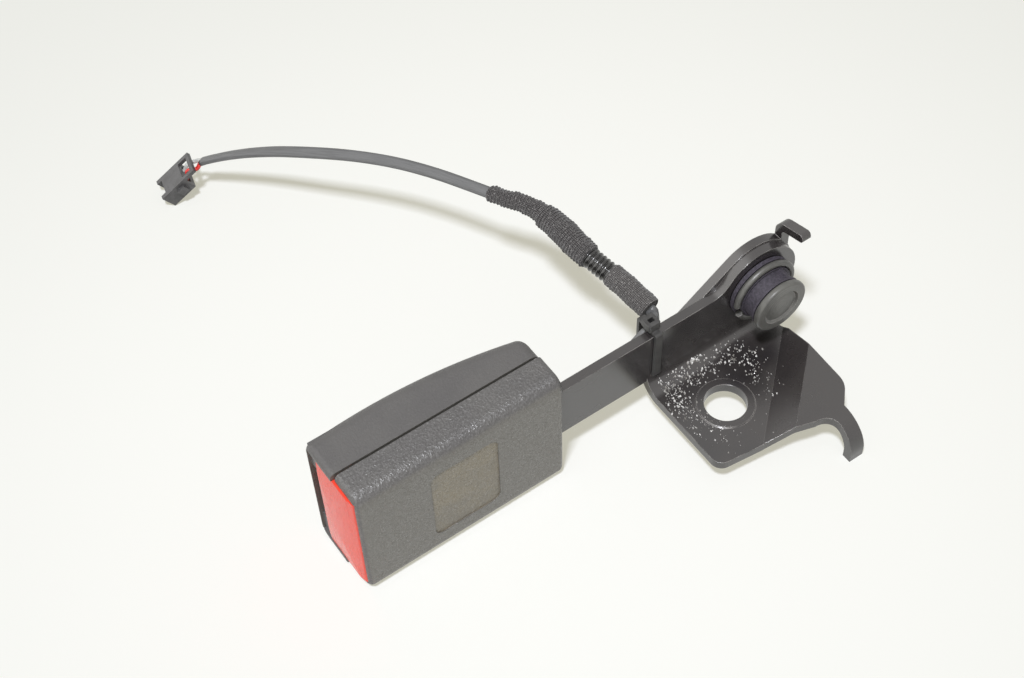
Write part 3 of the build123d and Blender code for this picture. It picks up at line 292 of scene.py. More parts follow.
def grained_polypropylene(colours, name, depth, gloss, shine):
    """Injection-moulded polypropylene with a spark-eroded grain: matte, with glinting grain tops.

    depth is the grain's in metres, gloss the roughness of its tops, and shine the specular level
    of the highest of them."""
    material, tree = start_material(name)
    place = object_place(tree)
    grain = add_node(tree, "TexNoise", {"Vector": place, "Scale": spots(0.42), **SOFT})
    coarse = add_node(tree, "TexNoise", {"Vector": place, "Scale": spots(1.3), **SOFT})
    patches = add_node(tree, "TexNoise", {"Vector": place, "Scale": spots(9), **CLOUDY})
    colour = mottled(tree, patches, 0.35, 0.7, colours.housing, colours.housing_worn)
    # Painted light: the broad faces are painted a little paler and warmer, for the light that falls on them
    facing = add_node(tree, "SeparateXYZ", {"Vector": add_node(tree, "NewGeometry", output="Normal")},
                      output="Y")
    broad = add_node(tree, "Math", {0: facing}, operation="ABSOLUTE")
    colour = mottled(tree, broad, 0.75, 0.98, colour, colours.housing_broad_painted_light)
    # The bare label field is warmer still, in clouds
    clouds = add_node(tree, "TexNoise", {"Vector": place, "Scale": spots(5), **CLOUDY})
    cloudy = add_node(tree, "MapRange", {"Value": clouds, "From Min": 0.25, "From Max": 0.75,
                                         "To Min": 0.45}, **SMOOTH)
    stain = add_node(tree, "Math", {0: label_field_share(tree), 1: cloudy}, operation="MULTIPLY")
    colour = add_node(tree, "Mix", {0: stain, 6: colour, 7: colours.label_field}, **COLOUR)
    roughness = add_node(tree, "MapRange", {"Value": grain, "From Min": 0.35, "From Max": 0.65,
                                            "To Min": 0.55, "To Max": gloss}, **SMOOTH)
    # The highest tops are polished, so they glint where a light catches them
    tops = add_node(tree, "TexNoise", {"Vector": place, "Scale": spots(0.26), **FINE})
    specular = add_node(tree, "MapRange", {"Value": tops, "From Min": 0.46, "From Max": 0.62,
                                           "To Min": 0.5, "To Max": shine}, **SMOOTH)
    swell = add_node(tree, "Math", {0: coarse, 1: 0.6}, operation="MULTIPLY")
    height = add_node(tree, "Math", {0: grain, 1: swell}, operation="ADD")
    end_material(tree, Base_Color=colour, Roughness=roughness, IOR=1.5, Specular_IOR_Level=specular,
                 Normal=relief(tree, height, depth, 0.9, 0.35 * MM))
    return material


def glossy_acetal(colours):
    """Moulded red acetal, polished tool: one deep colour under a clear, faintly scuffed gloss."""
    material, tree = start_material("glossy_acetal")
    scuffs = add_node(tree, "TexNoise", {"Vector": object_place(tree, (1.0, 1.0, 0.25)),
                                         "Scale": spots(0.5), **CLOUDY})
    roughness = add_node(tree, "MapRange", {"Value": scuffs, "From Min": 0.45, "From Max": 0.75,
                                            "To Min": 0.22, "To Max": 0.36}, **SMOOTH)
    waves = add_node(tree, "TexNoise", {"Vector": object_place(tree), "Scale": spots(3), **CLOUDY})
    end_material(tree, Base_Color=colours.button, Roughness=roughness, IOR=1.36,
                 Normal=relief(tree, waves, 0.03 * MM, 0.4, 0.3 * MM))
    return material


def coated_steel(colours):
    """Blanked steel under black electro-coat: glossy and slightly rippled; its pale edges are partly thin
    coat and partly a painted edge highlight.
    """
    material, tree = start_material("electro_coated_steel")
    place = object_place(tree)
    clouds = add_node(tree, "TexNoise", {"Vector": place, "Scale": spots(11), **CLOUDY})
    colour = mottled(tree, clouds, 0.3, 0.65, colours.steel, colours.steel_dust)
    # Pale edges: partly thin, rubbed coat and partly a painted edge highlight
    edge_wear_and_highlight = worn_and_highlit_edges(tree, 0.35 * MM, place, 2.5, 0.3, 0.55)
    colour = add_node(tree, "Mix", {0: edge_wear_and_highlight, 6: colour, 7: colours.steel_edge_coat_and_highlight}, **COLOUR)
    roughness = add_node(tree, "MapRange", {"Value": clouds, "From Min": 0.3, "From Max": 0.65,
                                            "To Min": 0.18, "To Max": 0.28}, **SMOOTH)
    ripple = add_node(tree, "TexNoise", {"Vector": place, "Scale": spots(2.2), **SOFT})
    end_material(tree, Base_Color=colour, Roughness=roughness, IOR=1.85,
                 Normal=relief(tree, ripple, 0.05 * MM, 0.3, 0.4 * MM))
    return material


def satin_coated_steel(colours):
    """The stud's turned cap: the same coat over turning marks, rubbed to a satin grey."""
    material, tree = start_material("satin_coated_steel")
    place = object_place(tree)
    # Rings of the lathe tool, centred on the stud's axis and coarser than real ones so that they show
    centred = add_node(tree, "Mapping", {"Vector": place, "Location": STUD_TO_ORIGIN})
    rings = add_node(tree, "TexWave", {"Vector": centred, "Scale": 260.0, "Distortion": 0.4, "Detail": 1.0},
                     output="Fac", wave_type="RINGS", rings_direction="Y")
    patches = add_node(tree, "TexNoise", {"Vector": place, "Scale": spots(4), **CLOUDY})
    colour = mottled(tree, patches, 0.35, 0.7, colours.stud, colours.stud_rubbed)
    # Pale edges: partly thin, rubbed coat and partly a painted edge highlight
    edge_wear_and_highlight = worn_and_highlit_edges(tree, 0.5 * MM, place, 2.0, 0.3, 0.6)
    colour = add_node(tree, "Mix", {0: edge_wear_and_highlight, 6: colour, 7: colours.steel_edge_coat_and_highlight}, **COLOUR)
    end_material(tree, Base_Color=colour, Roughness=0.38, IOR=1.6,
                 Normal=relief(tree, rings, 0.04 * MM, 0.5, 0.3 * MM))
    return material


def rough_nylon(colours):
    """Filled nylon of the spool: chalky, purple-grey, with a sanded look."""
    material, tree = start_material("filled_nylon")
    pits = add_node(tree, "TexNoise", {"Vector": object_place(tree), "Scale": spots(0.35), **FINE})
    end_material(tree, Base_Color=mottled(tree, pits, 0.35, 0.7, colours.spool, colours.spool_rubbed),
                 Roughness=0.7, IOR=1.53, Normal=relief(tree, pits, 0.15 * MM, 0.6, 0.2 * MM))
    return material


def zinc_plate(colours):
    """Zinc-plated pressed steel: pale blue-grey metal with a fine spangle."""
    material, tree = start_material("zinc_plated_steel")
    spangle = add_node(tree, "TexNoise", {"Vector": object_place(tree), "Scale": spots(1.2), **FINE})
    roughness = add_node(tree, "MapRange", {"Value": spangle, "From Min": 0.3, "From Max": 0.7,
                                            "To Min": 0.26, "To Max": 0.46}, **SMOOTH)
    end_material(tree, Base_Color=mottled(tree, spangle, 0.35, 0.7, colours.zinc, colours.zinc_dull),
                 Metallic=1.0, Roughness=roughness, Normal=relief(tree, spangle, 0.02 * MM, 0.4, 0.3 * MM))
    return material


def spring_wire(colours):
    """Drawn spring steel: bright, with fine lines along the wire."""
    material, tree = start_material("drawn_spring_steel")
    streaks = add_node(tree, "TexNoise", {"Vector": object_place(tree, (1.0, 6.0, 6.0)),
                                          "Scale": spots(0.4), **CLOUDY})
    colour = add_node(tree, "Mix", {0: streaks, 6: colours.spring, 7: colours.spring_dark}, **COLOUR)
    end_material(tree, Base_Color=colour, Metallic=1.0, Roughness=0.25,
                 Normal=relief(tree, streaks, 0.01 * MM, 0.4))
    return material


def natural_acetal(colours):
    """Uncoloured acetal of the inner sliding pieces: waxy and off-white."""
    material, tree = start_material("natural_acetal")
    place = object_place(tree)
    cloud = add_node(tree, "TexNoise", {"Vector": place, "Scale": spots(5), **CLOUDY})
    colour = add_node(tree, "Mix", {0: cloud, 6: colours.inner, 7: colours.inner_shade}, **COLOUR)
    skin = add_node(tree, "TexNoise", {"Vector": place, "Scale": spots(0.8), **CLOUDY})
    end_material(tree, Base_Color=colour, Roughness=0.4, IOR=1.48, Subsurface_Weight=0.1,
                 Normal=relief(tree, skin, 0.02 * MM, 0.4, 0.2 * MM))
    return material


def black_nylon(name, colour, flow_mark):
    """Moulded black nylon of the tie and the connector: satin, with flow marks."""
    material, tree = start_material(name)
    place = object_place(tree)
    flow = add_node(tree, "TexNoise", {"Vector": place, "Scale": spots(1.5), **CLOUDY})
    roughness = add_node(tree, "MapRange", {"Value": flow, "From Min": 0.3, "From Max": 0.7,
                                            "To Min": 0.36, "To Max": 0.46}, **SMOOTH)
    skin = add_node(tree, "TexNoise", {"Vector": place, "Scale": spots(0.3), **CLOUDY})
    end_material(tree, Base_Color=mottled(tree, flow, 0.35, 0.7, colour, flow_mark), Roughness=roughness,
                 IOR=1.53, Normal=relief(tree, skin, 0.03 * MM, 0.4, 0.2 * MM))
    return material


def glossy_conduit(colours):
    """Blow-moulded black polyamide tube: thin, hard and shiny on its ribs."""
    material, tree = start_material("black_polyamide_tube")
    flow = add_node(tree, "TexNoise", {"Vector": object_place(tree), "Scale": spots(1.0), **CLOUDY})
    roughness = add_node(tree, "MapRange", {"Value": flow, "From Min": 0.3, "From Max": 0.7,
                                            "To Min": 0.14, "To Max": 0.3}, **SMOOTH)
    end_material(tree, Base_Color=colours.tube, Roughness=roughness, IOR=1.53, Coat_Weight=0.6,
                 Coat_Roughness=0.1, Normal=relief(tree, flow, 0.02 * MM, 0.4))
    return material


def cloth_tape(name, ground, thread_top, fibre):
    """Black cloth harness tape: crossed matt threads with pale fibre ends standing out of them."""
    material, tree = start_material(name)
    place = add_node(tree, "TexCoord", output="UV")
    # Threads 0.55 mm apart, coarser than the real 0.3 mm so that they show
    across, along = (add_node(tree, "TexWave",
                              {"Vector": place, "Scale": 0.314 / (0.55 * MM), "Distortion": 1.2,
                               "Detail": 2.0, "Detail Scale": 3.0}, output="Fac", bands_direction=direction)
                     for direction in ("X", "Y"))
    weave = add_node(tree, "Math", {0: across, 1: along}, operation="MULTIPLY")
    ends = add_node(tree, "TexNoise", {"Vector": object_place(tree), "Scale": spots(0.22), **FINE})
    fibres = add_node(tree, "MapRange", {"Value": ends, "From Min": 0.55, "From Max": 0.72}, **SMOOTH)
    colour = add_node(tree, "Mix", {0: weave, 6: ground, 7: thread_top}, **COLOUR)
    colour = add_node(tree, "Mix", {0: fibres, 6: colour, 7: fibre}, **COLOUR)
    height = add_node(tree, "Math", {0: weave, 1: fibres}, operation="ADD")
    end_material(tree, Base_Color=colour, Roughness=0.95, Sheen_Weight=0.25, Sheen_Roughness=0.5,
                 Normal=relief(tree, height, 0.12 * MM, 0.8))
    return material


def soft_vinyl(name, colour, shade, roughness=0.4):
    """Plasticised vinyl of a wire or jacket: satin, with faint drag lines along it."""
    material, tree = start_material(name)
    stretched = add_node(tree, "Mapping", {"Vector": add_node(tree, "TexCoord", output="UV"),
                                           "Scale": (1.0, 0.06, 1.0)})
    drag = add_node(tree, "TexNoise", {"Vector": stretched, "Scale": spots(0.3), **CLOUDY})
    varied = add_node(tree, "MapRange", {"Value": drag, "From Min": 0.3, "From Max": 0.7,
                                         "To Min": roughness - 0.06, "To Max": roughness + 0.1}, **SMOOTH)
    end_material(tree, Base_Color=mottled(tree, drag, 0.35, 0.7, colour, shade), Roughness=varied,
                 IOR=1.52, Normal=relief(tree, drag, 0.03 * MM, 0.3))
    return material


def tinned_brass(colours):
    """Tinned brass of the terminals: soft pale metal, yellowish where the tin is thin."""
    material, tree = start_material("tinned_brass")
    thin = add_node(tree, "TexNoise", {"Vector": object_place(tree), "Scale": spots(0.8), **CLOUDY})
    end_material(tree, Base_Color=mottled(tree, thin, 0.4, 0.75, colours.terminal, colours.terminal_brass),
                 Metallic=1.0, Roughness=0.3, Normal=relief(tree, thin, 0.01 * MM, 0.4))
    return material


def quartz_grit(colours):
    """Pale road grit: glassy mineral grains, some milky and some clear grey."""
    material, tree = start_material("quartz_grit")
    tone = add_node(tree, "TexNoise", {"Vector": object_place(tree), "Scale": spots(1.1), "Detail": 1.0,
                                       "Roughness": 0.6})
    end_material(tree, Base_Color=mottled(tree, tone, 0.35, 0.65, colours.grit_grey, colours.grit_milky),
                 Roughness=0.18, IOR=1.55)
    return material


# ---------------- the lead's own line
def line_of(points):
    """The points of the smooth line that a NURBS curve on those control points follows."""
    data = bpy.data.curves.new("route", "CURVE")
    data.dimensions = "3D"
    data.resolution_u = 16
    spline = data.splines.new("NURBS")
    spline.points.add(len(points) - 1)
    for point, place in zip(spline.points, points):
        point.co = (*place, 1.0)
    spline.order_u = 3
    spline.use_endpoint_u = True
    curve = bpy.data.objects.new("route", data)
    bpy.context.scene.collection.objects.link(curve)
    mesh = bpy.data.meshes.new_from_object(curve)
    line = [vertex.co.copy() for vertex in mesh.vertices]
    bpy.data.meshes.remove(mesh)
    bpy.data.objects.remove(curve)
    bpy.data.curves.remove(data)
    return line


class Route:
    """A smooth line with its length, and a frame at any distance along it that doesn't twist."""

    def __init__(self, points, broad_side):
        self.line = line_of(points)
        self.at = [0.0]
        for before, after in zip(self.line, self.line[1:]):
            self.at.append(self.at[-1] + (after - before).length)
        self.length = self.at[-1]
        self.broad_side = broad_side

    def nearest(self, place):
        """Distance along the line of the point that lies nearest to place."""
        best = min(range(len(self.line)), key=lambda i: (self.line[i] - Vector(place)).length)
        return self.at[best]

    def frame(self, distance):
        """Point, direction along, and two directions across: the broad side's normal is the last."""
        distance = min(max(distance, 0.0), self.length)
        i = max(j for j, at in enumerate(self.at[:-1]) if at <= distance)
        share = (distance - self.at[i]) / (self.at[i + 1] - self.at[i])
        along = (self.line[i + 1] - self.line[i]).normalized()
        if i + 2 < len(self.line):
            along = along.lerp((self.line[i + 2] - self.line[i + 1]).normalized(), share * 0.5)
        if i > 0:
            along = along.lerp((self.line[i] - self.line[i - 1]).normalized(), (1 - share) * 0.33)
        along.normalize()
        width = self.broad_side.cross(along).normalized()
        return self.line[i].lerp(self.line[i + 1], share), along, width, along.cross(width)


def tube_along(name, route, start, end, step, around, section):
    """A closed mesh tube from start to end along a route. section(distance, angle) is the
    point of its section, as width and height. Its UV map is metres round and along it."""
    count = max(2, round((end - start) / step))
    mesh = bmesh.new()
    uv = mesh.loops.layers.uv.new("UVMap")
    rings = []
    for i in range(count + 1):
        distance = start + (end - start) * i / count
        centre, _, width, height = route.frame(distance)
        ring = []
        for j in range(around):
            across, up = section(distance, 2 * math.pi * j / around)
            ring.append(mesh.verts.new(centre + width * across + height * up))
        rings.append((distance, ring))
    girth = sum((rings[0][1][j].co - rings[0][1][j - 1].co).length for j in range(around))
    for (before, low), (after, high) in zip(rings, rings[1:]):
        for j in range(around):
            k = (j + 1) % around
            face = mesh.faces.new((low[j], low[k], high[k], high[j]))
            face.smooth = True
            corners = ((j, before), (j + 1, before), (j + 1, after), (j, after))
            for loop, (u, v) in zip(face.loops, corners):
                loop[uv].uv = (u / around * girth, v)
    for ring, flip in ((rings[0][1], True), (rings[-1][1], False)):
        centre = mesh.verts.new(sum((v.co for v in ring), Vector()) / around)
        for j in range(around):
            k = (j + 1) % around
            mesh.faces.new((centre, ring[k], ring[j]) if flip else (centre, ring[j], ring[k]))
    bmesh.ops.recalc_face_normals(mesh, faces=mesh.faces)
    data = bpy.data.meshes.new(name)
    mesh.to_mesh(data)
    mesh.free()
    made = bpy.data.objects.new(name, data)
    bpy.context.scene.collection.objects.link(made)
    return made


def finish_piece(piece, material, slot, body, *replaced):
    """Gives a new piece its material and its body, and hides the nodes it stands for. slot is not used."""
    piece.data.materials.clear()
    piece.data.materials.append(material)
    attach(piece, body)
    if replaced:
        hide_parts(*replaced)
    return piece


def paint(material, *names):
    """Puts a material on CAD nodes."""
    for name in names:
        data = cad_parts[name].data
        data.materials.clear()
        data.materials.append(material)


def pick_nothing():
    """Deselects everything, so that an operator acts on the new piece alone."""
    bpy.ops.object.select_all(action="DESELECT")


# ---------------- what a user may change
def colour_text(default, description):
    """A hex colour that a user may change. The words before the colon are its name."""
    return bpy.props.StringProperty(name=description.split(":")[0], default=default,
                                    description=description)


class BuckleColours(bpy.types.PropertyGroup):
    """Colours of the finishes, as sRGB hex."""

    housing: colour_text("#5a5857", "Housing: grained shells")
    housing_worn: colour_text("#605e5c", "Housing, patches: lighter parts of the shells")
    # Painted light: a paler, warmer tone for the light on the two broad faces
    housing_broad_painted_light: colour_text("#6f6c66", "Housing, broad: its two broad faces")
    label_field: colour_text("#857c69", "Label field: the bare recess on the near face")
    button: colour_text("#f64a35", "Button: red acetal")
    steel: colour_text("#2c292a", "Coated steel: bracket, doubler and hooks")
    steel_dust: colour_text("#34302f", "Coated steel, dull: slow variation in the coat")
    # Partly thin coat and partly a painted highlight on the steel's edges
    steel_edge_coat_and_highlight: colour_text("#a5a09b", "Edges: thin coat on the steel's edges")
    stud: colour_text("#4d4c49", "Stud: turned cap")
    stud_rubbed: colour_text("#63625d", "Stud, rubbed: lighter patches on the cap")
    spool: colour_text("#2f2b33", "Spool: barrel between the flanges")
    spool_rubbed: colour_text("#4b4650", "Spool, rubbed: lighter grains of the barrel")
    zinc: colour_text("#b9bcbd", "Zinc: frame, rivets, latch and pin")
    zinc_dull: colour_text("#92979a", "Zinc, dull: darker spangle")
    spring: colour_text("#a9a9ab", "Springs: bright wire")
    spring_dark: colour_text("#77777a", "Springs, drawn lines: darker streaks")
    inner: colour_text("#dcdad3", "Inner plastic: ejector and switch")
    inner_shade: colour_text("#cbc8bf", "Inner plastic, shade: cloudy variation")
    nylon: colour_text("#3a3938", "Black nylon: cable tie")
    nylon_light: colour_text("#4b4a49", "Black nylon, flow: lighter marks")
    connector: colour_text("#484747", "Connector: greyer black nylon")
    connector_light: colour_text("#5b5a5a", "Connector, flow: lighter marks")
    tube: colour_text("#242322", "Ribbed tube: shiny black")
    near_tape: colour_text("#3b3938", "Near tape: ground of the tape beside the tie")
    near_tape_thread: colour_text("#8b8784", "Near tape, thread: tops of its threads")
    tape: colour_text("#2c2a2a", "Cloth tape: ground")
    tape_thread: colour_text("#787472", "Cloth tape, thread: tops of the threads")
    tape_fibre: colour_text("#bdb9b5", "Cloth tape, fibre: pale fibre ends")
    jacket: colour_text("#6b6b6b", "Jacket: two-core lead")
    jacket_shade: colour_text("#5c5c5c", "Jacket, drag: darker lines")
    terminal: colour_text("#c9c5b6", "Terminals: tin")
    terminal_brass: colour_text("#b7a469", "Terminals, brass: where the tin is thin")
    red_wire: colour_text("#e2342c", "Red wire: vinyl")
    red_wire_shade: colour_text("#c02a24", "Red wire, drag: darker lines")
    white_wire: colour_text("#d9dbd6", "White wire: vinyl")
    white_wire_shade: colour_text("#b8bab5", "White wire, drag: darker lines")
    grit_grey: colour_text("#8d8983", "Grit, grey: its darker grains")
    grit_milky: colour_text("#f4f2ee", "Grit, milky: its paler grains")
    floor: colour_text("#f4f4f1", "Floor: pale paper, as a light bounces off it")
    paper: colour_text("#f8faff", "Floor, seen: the paper's own colour")
    # Painted light: dimmer paper towards the corners, for the light falling off
    paper_far_painted_dim: colour_text("#eceef2", "Floor, seen far: the same towards the corners")
    glow: colour_text("#fffce8", "Floor glow: backlight through the paper")
    # Painted light: the glow dimmer towards the corners, for the light falling off
    glow_far_painted_dim: colour_text("#f5f3e0", "Floor glow far: the same towards the corners")
    room: colour_text("#fffaea", "Room: light from all round")
    tent: colour_text("#fbfaf7", "Tent: white walls that a gloss shows")


def length(default_mm, description):
    """A size that a user may change, named likewise."""
    return bpy.props.FloatProperty(name=description.split(":")[0], default=default_mm * MM,
                                   description=description, unit="LENGTH", precision=4)


class BuckleSizes(bpy.types.PropertyGroup):
    """Sizes of the soft pieces on the lead."""

    jacket_width: length(3.9, "Jacket width: across both cores")
    jacket_thickness: length(2.5, "Jacket thickness: over one core")
    wire_diameter: length(1.5, "Wire diameter: one insulated core")
    near_wrap_radius: length(4.1, "Near wrap radius: tape beside the tie")
    thick_wrap_radius: length(4.45, "Thick wrap radius: tape in the middle")
    thin_wrap_radius: length(3.05, "Thin wrap radius: tape at the jacket")
    tube_crest_radius: length(3.6, "Tube crest radius: over its ribs")
    tube_root_radius: length(2.95, "Tube root radius: between its ribs")
    tube_pitch: length(1.6, "Tube pitch: from rib to rib")
    tape_lap: length(7.5, "Tape lap: from turn to turn of the tape")
    grain_size: length(0.5, "Grit: mean width of a grain")


def colours_and_sizes():
    scene = bpy.context.scene
    return scene.buckle_colours, scene.buckle_sizes


# ---------------- operators, one per piece
class PieceOperator(bpy.types.Operator):
    """Shared by the operators below: they all change the file and can be undone."""

    bl_options = {"REGISTER", "UNDO"}


class BUCKLE_OT_housing(PieceOperator):
    """Finish the two housing shells in grained black polypropylene"""

    bl_idname = "buckle.housing"
    bl_label = "Housing shells"

    def execute(self, context):
        colours, _ = colours_and_sizes()
        paint(grained_polypropylene(colours, "grained_polypropylene", 0.34 * MM, 0.24, 1.0),
              "housing_near_shell")
        paint(grained_polypropylene(colours, "fine_grained_polypropylene", 0.14 * MM, 0.38, 0.6),
              "housing_far_shell")
        return {"FINISHED"}


class BUCKLE_OT_button(PieceOperator):
    """Finish the press button in glossy red acetal"""

    bl_idname = "buckle.button"
    bl_label = "Press button"

    def execute(self, context):
        colours, _ = colours_and_sizes()
        paint(glossy_acetal(colours), "press_button")
        return {"FINISHED"}


class BUCKLE_OT_stalk(PieceOperator):
    """Finish the bracket, doubler, stud and spool"""

    bl_idname = "buckle.stalk"
    bl_label = "Stalk and stud"

    def execute(self, context):
        colours, _ = colours_and_sizes()
        paint(coated_steel(colours), "anchor_bracket", "lug_doubler")
        paint(satin_coated_steel(colours), "anchor_stud", "spring_ring")
        paint(rough_nylon(colours), "spool_bush")
        return {"FINISHED"}


class BUCKLE_OT_grit(PieceOperator):
    """Scatter road grit on the base plate beside its fold, with a dense patch of large pale grains as a
    painted glint
    """

    bl_idname = "buckle.grit"
    bl_label = "Road grit"

    def execute(self, context):
        colours, sizes = colours_and_sizes()
        pick_nothing()
        bpy.ops.mesh.primitive_ico_sphere_add(subdivisions=1, radius=sizes.grain_size / 2)
        seed_grain = context.object
        seed_grain.name = "road_grit_and_glint"
        bpy.ops.object.mode_set(mode="EDIT")
        bpy.ops.mesh.select_all(action="SELECT")
        bpy.ops.transform.vertex_random(offset=GRAIN_DENT * sizes.grain_size, uniform=1.0, seed=3)
        bpy.ops.mesh.vertices_smooth(factor=0.1)
        bpy.ops.object.mode_set(mode="OBJECT")
        plate = BVHTree.FromObject(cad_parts["anchor_bracket"], context.evaluated_depsgraph_get())
        draw = random.Random(7)
        grains = [seed_grain]
        for centre_x, centre_y, spread_x, spread_y, count, swell in GRIT_AND_GLINT_PATCHES:
            for _ in range(count):
                above = Vector(((centre_x + draw.gauss(0, spread_x)) * MM,
                                (centre_y + draw.gauss(0, spread_y)) * MM, GRIT_DROP_Z))
                angle = draw.uniform(0, 2 * math.pi)
                turn = Matrix.Rotation(angle, 4, Vector((draw.random(), 1.0, draw.random())))
                size = swell * draw.choice(GRAIN_SHARES)
                place, normal, _, _ = plate.ray_cast(above, Vector((0.0, 0.0, -1.0)))
                if place is None or normal.z < LEVEL_ENOUGH or place.y > GRIT_FOLD_Y:
                    continue
                grain = seed_grain.copy()
                grain.data = seed_grain.data.copy()
                context.collection.objects.link(grain)
                lift = normal * (GRAIN_LIFT * sizes.grain_size * size)
                grain.data.transform(Matrix.Translation(place + lift) @ turn @ Matrix.Scale(size, 4))
                grains.append(grain)
        # The first grain lies among the others
        seed_grain.data.transform(Matrix.Translation(grains[1].data.vertices[0].co) @ Matrix.Scale(0.5, 4))
        pick_nothing()
        for grain in grains:
            grain.select_set(True)
        context.view_layer.objects.active = seed_grain
        bpy.ops.object.join()
        finish_piece(seed_grain, quartz_grit(colours), "coated_steel", "stalk")
        return {"FINISHED"}


def closing_coil(node, wire):
    """A copy of a coil spring's node, with its doubled points merged and shaded smooth, that stands in for
    the node on the stalk.
    """
    shape = bmesh.new()
    shape.from_mesh(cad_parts[node].data)
    bmesh.ops.remove_doubles(shape, verts=shape.verts, dist=1e-6)
    data = bpy.data.meshes.new("coiled_" + node)
    shape.to_mesh(data)
    shape.free()
    coil = bpy.data.objects.new("coiled_" + node, data)
    bpy.context.collection.objects.link(coil)
    pick_nothing()
    coil.select_set(True)
    bpy.context.view_layer.objects.active = coil
    bpy.ops.object.shade_smooth_by_angle(angle=math.radians(50))
    finish_piece(coil, wire, "spring_steel", "stalk", node)
    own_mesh(coil)


class BUCKLE_OT_works(PieceOperator):
    """Finish the pieces inside the housing, with copies of the coil springs"""

    bl_idname = "buckle.works"
    bl_label = "Inner works"

    def execute(self, context):
        colours, _ = colours_and_sizes()
        paint(zinc_plate(colours), "buckle_frame", "frame_rivets", "latch_pin", "latch_plate")
        wire = spring_wire(colours)
        paint(wire, "latch_spring")
        closing_coil("button_springs", wire)
        closing_coil("ejector_spring", wire)
        paint(natural_acetal(colours), "ejector", "buckle_switch")
        return {"FINISHED"}


class BUCKLE_OT_moulded(PieceOperator):
    """Finish the cable tie, the connector and its terminals"""

    bl_idname = "buckle.moulded"
    bl_label = "Tie and connector"

    def execute(self, context):
        colours, _ = colours_and_sizes()
        paint(black_nylon("black_nylon", colours.nylon, colours.nylon_light), "cable_tie")
        paint(black_nylon("connector_nylon", colours.connector, colours.connector_light),
              "connector_housing")
        paint(tinned_brass(colours), "terminals")
        return {"FINISHED"}


def two_core_section(sizes):
    """The flat jacket's section: two round cores under one skin, with a shallow valley between them."""
    half_width, half_height = sizes.jacket_width / 2, sizes.jacket_thickness / 2

    def section(_, angle):
        across = half_width * math.cos(angle)
        waist = 1 - VALLEY_DEPTH * math.exp(-(across / (VALLEY_WIDTH * half_width)) ** 2)
        up = math.copysign(abs(math.sin(angle)) ** CORE_SQUARENESS, math.sin(angle))
        return across, half_height * waist * up

    return section


def twisted_section(section, length):
    """That section, turned partly on edge towards the far end of a lead of that length."""
    def turned(distance, angle):
        across, up = section(distance, angle)
        share = min(1.0, max(0.0, distance / length - TWIST_FROM) / (1 - TWIST_FROM))
        turn = TWIST * share * share * (3 - 2 * share)
        return (across * math.cos(turn) - up * math.sin(turn),
                across * math.sin(turn) + up * math.cos(turn))

    return turned


def round_section(radius_of):
    """A round section whose radius depends on the distance along the lead."""
    def section(distance, angle):
        radius = radius_of(distance)
        return radius * math.cos(angle), radius * math.sin(angle)

    return section


def wound_section(sizes, start, end, radius_of, seed, ridge):
    """Tape wound in a slanting spiral: lapped steps, crosswise crepe and soft lumps."""
    def section(distance, angle):
        turn = distance / sizes.tape_lap + angle / (2 * math.pi) + seed
        lap = (turn % 1.0) ** 3 * LAP_STEP
        crepe = math.sin(2 * math.pi * (distance + CREPE_SLANT * math.sin(angle)) / CREPE_PITCH)
        lump = noise.noise(Vector((math.cos(angle) * 1.4, math.sin(angle) * 1.4,
                                   distance / LUMP_LENGTH + seed * 7)))
        thread = noise.noise(Vector((math.cos(angle) * 7, math.sin(angle) * 7, distance / THREAD_LENGTH)))
        from_end = min(1.0, max(0.0, min(distance - start, end - distance) / END_LENGTH))
        radius = radius_of(distance) - TAPE_SINK + lap + ridge * crepe + LUMP_HEIGHT * lump
        radius += THREAD_HEIGHT * thread - END_DROP * (1 - from_end) ** 2
        return radius * math.cos(angle), radius * math.sin(angle)

    return section


def connector_wire(free, sizes, name, sign, rise):
    """One core from the jacket's end, through the guard loop and into its lane of the connector."""
    end, along, width, up = free.frame(free.length)
    axis = (CONNECTOR_MOUTH - CONNECTOR_REAR).normalized()
    side = axis.cross(Vector((0, 0, 1))).normalized()
    lift = side.cross(axis).normalized()
    start = end + width * (sign * CORE_ACROSS) + up * (sign * CORE_UP)
    lane = CONNECTOR_REAR + side * (sign * WIRE_LANE)
    points = [start - along * 1.0 * MM, start + along * 1.0 * MM, start.lerp(lane, 0.5) + lift * 0.2 * MM]
    points += [lane + axis * forward * MM + lift * share * rise * MM for forward, share in WIRE_LOOP]
    core = Route(points, lift)
    return tube_along(name, core, 0.0, core.length, *WIRE_MESH,
                      round_section(lambda _: sizes.wire_diameter / 2))


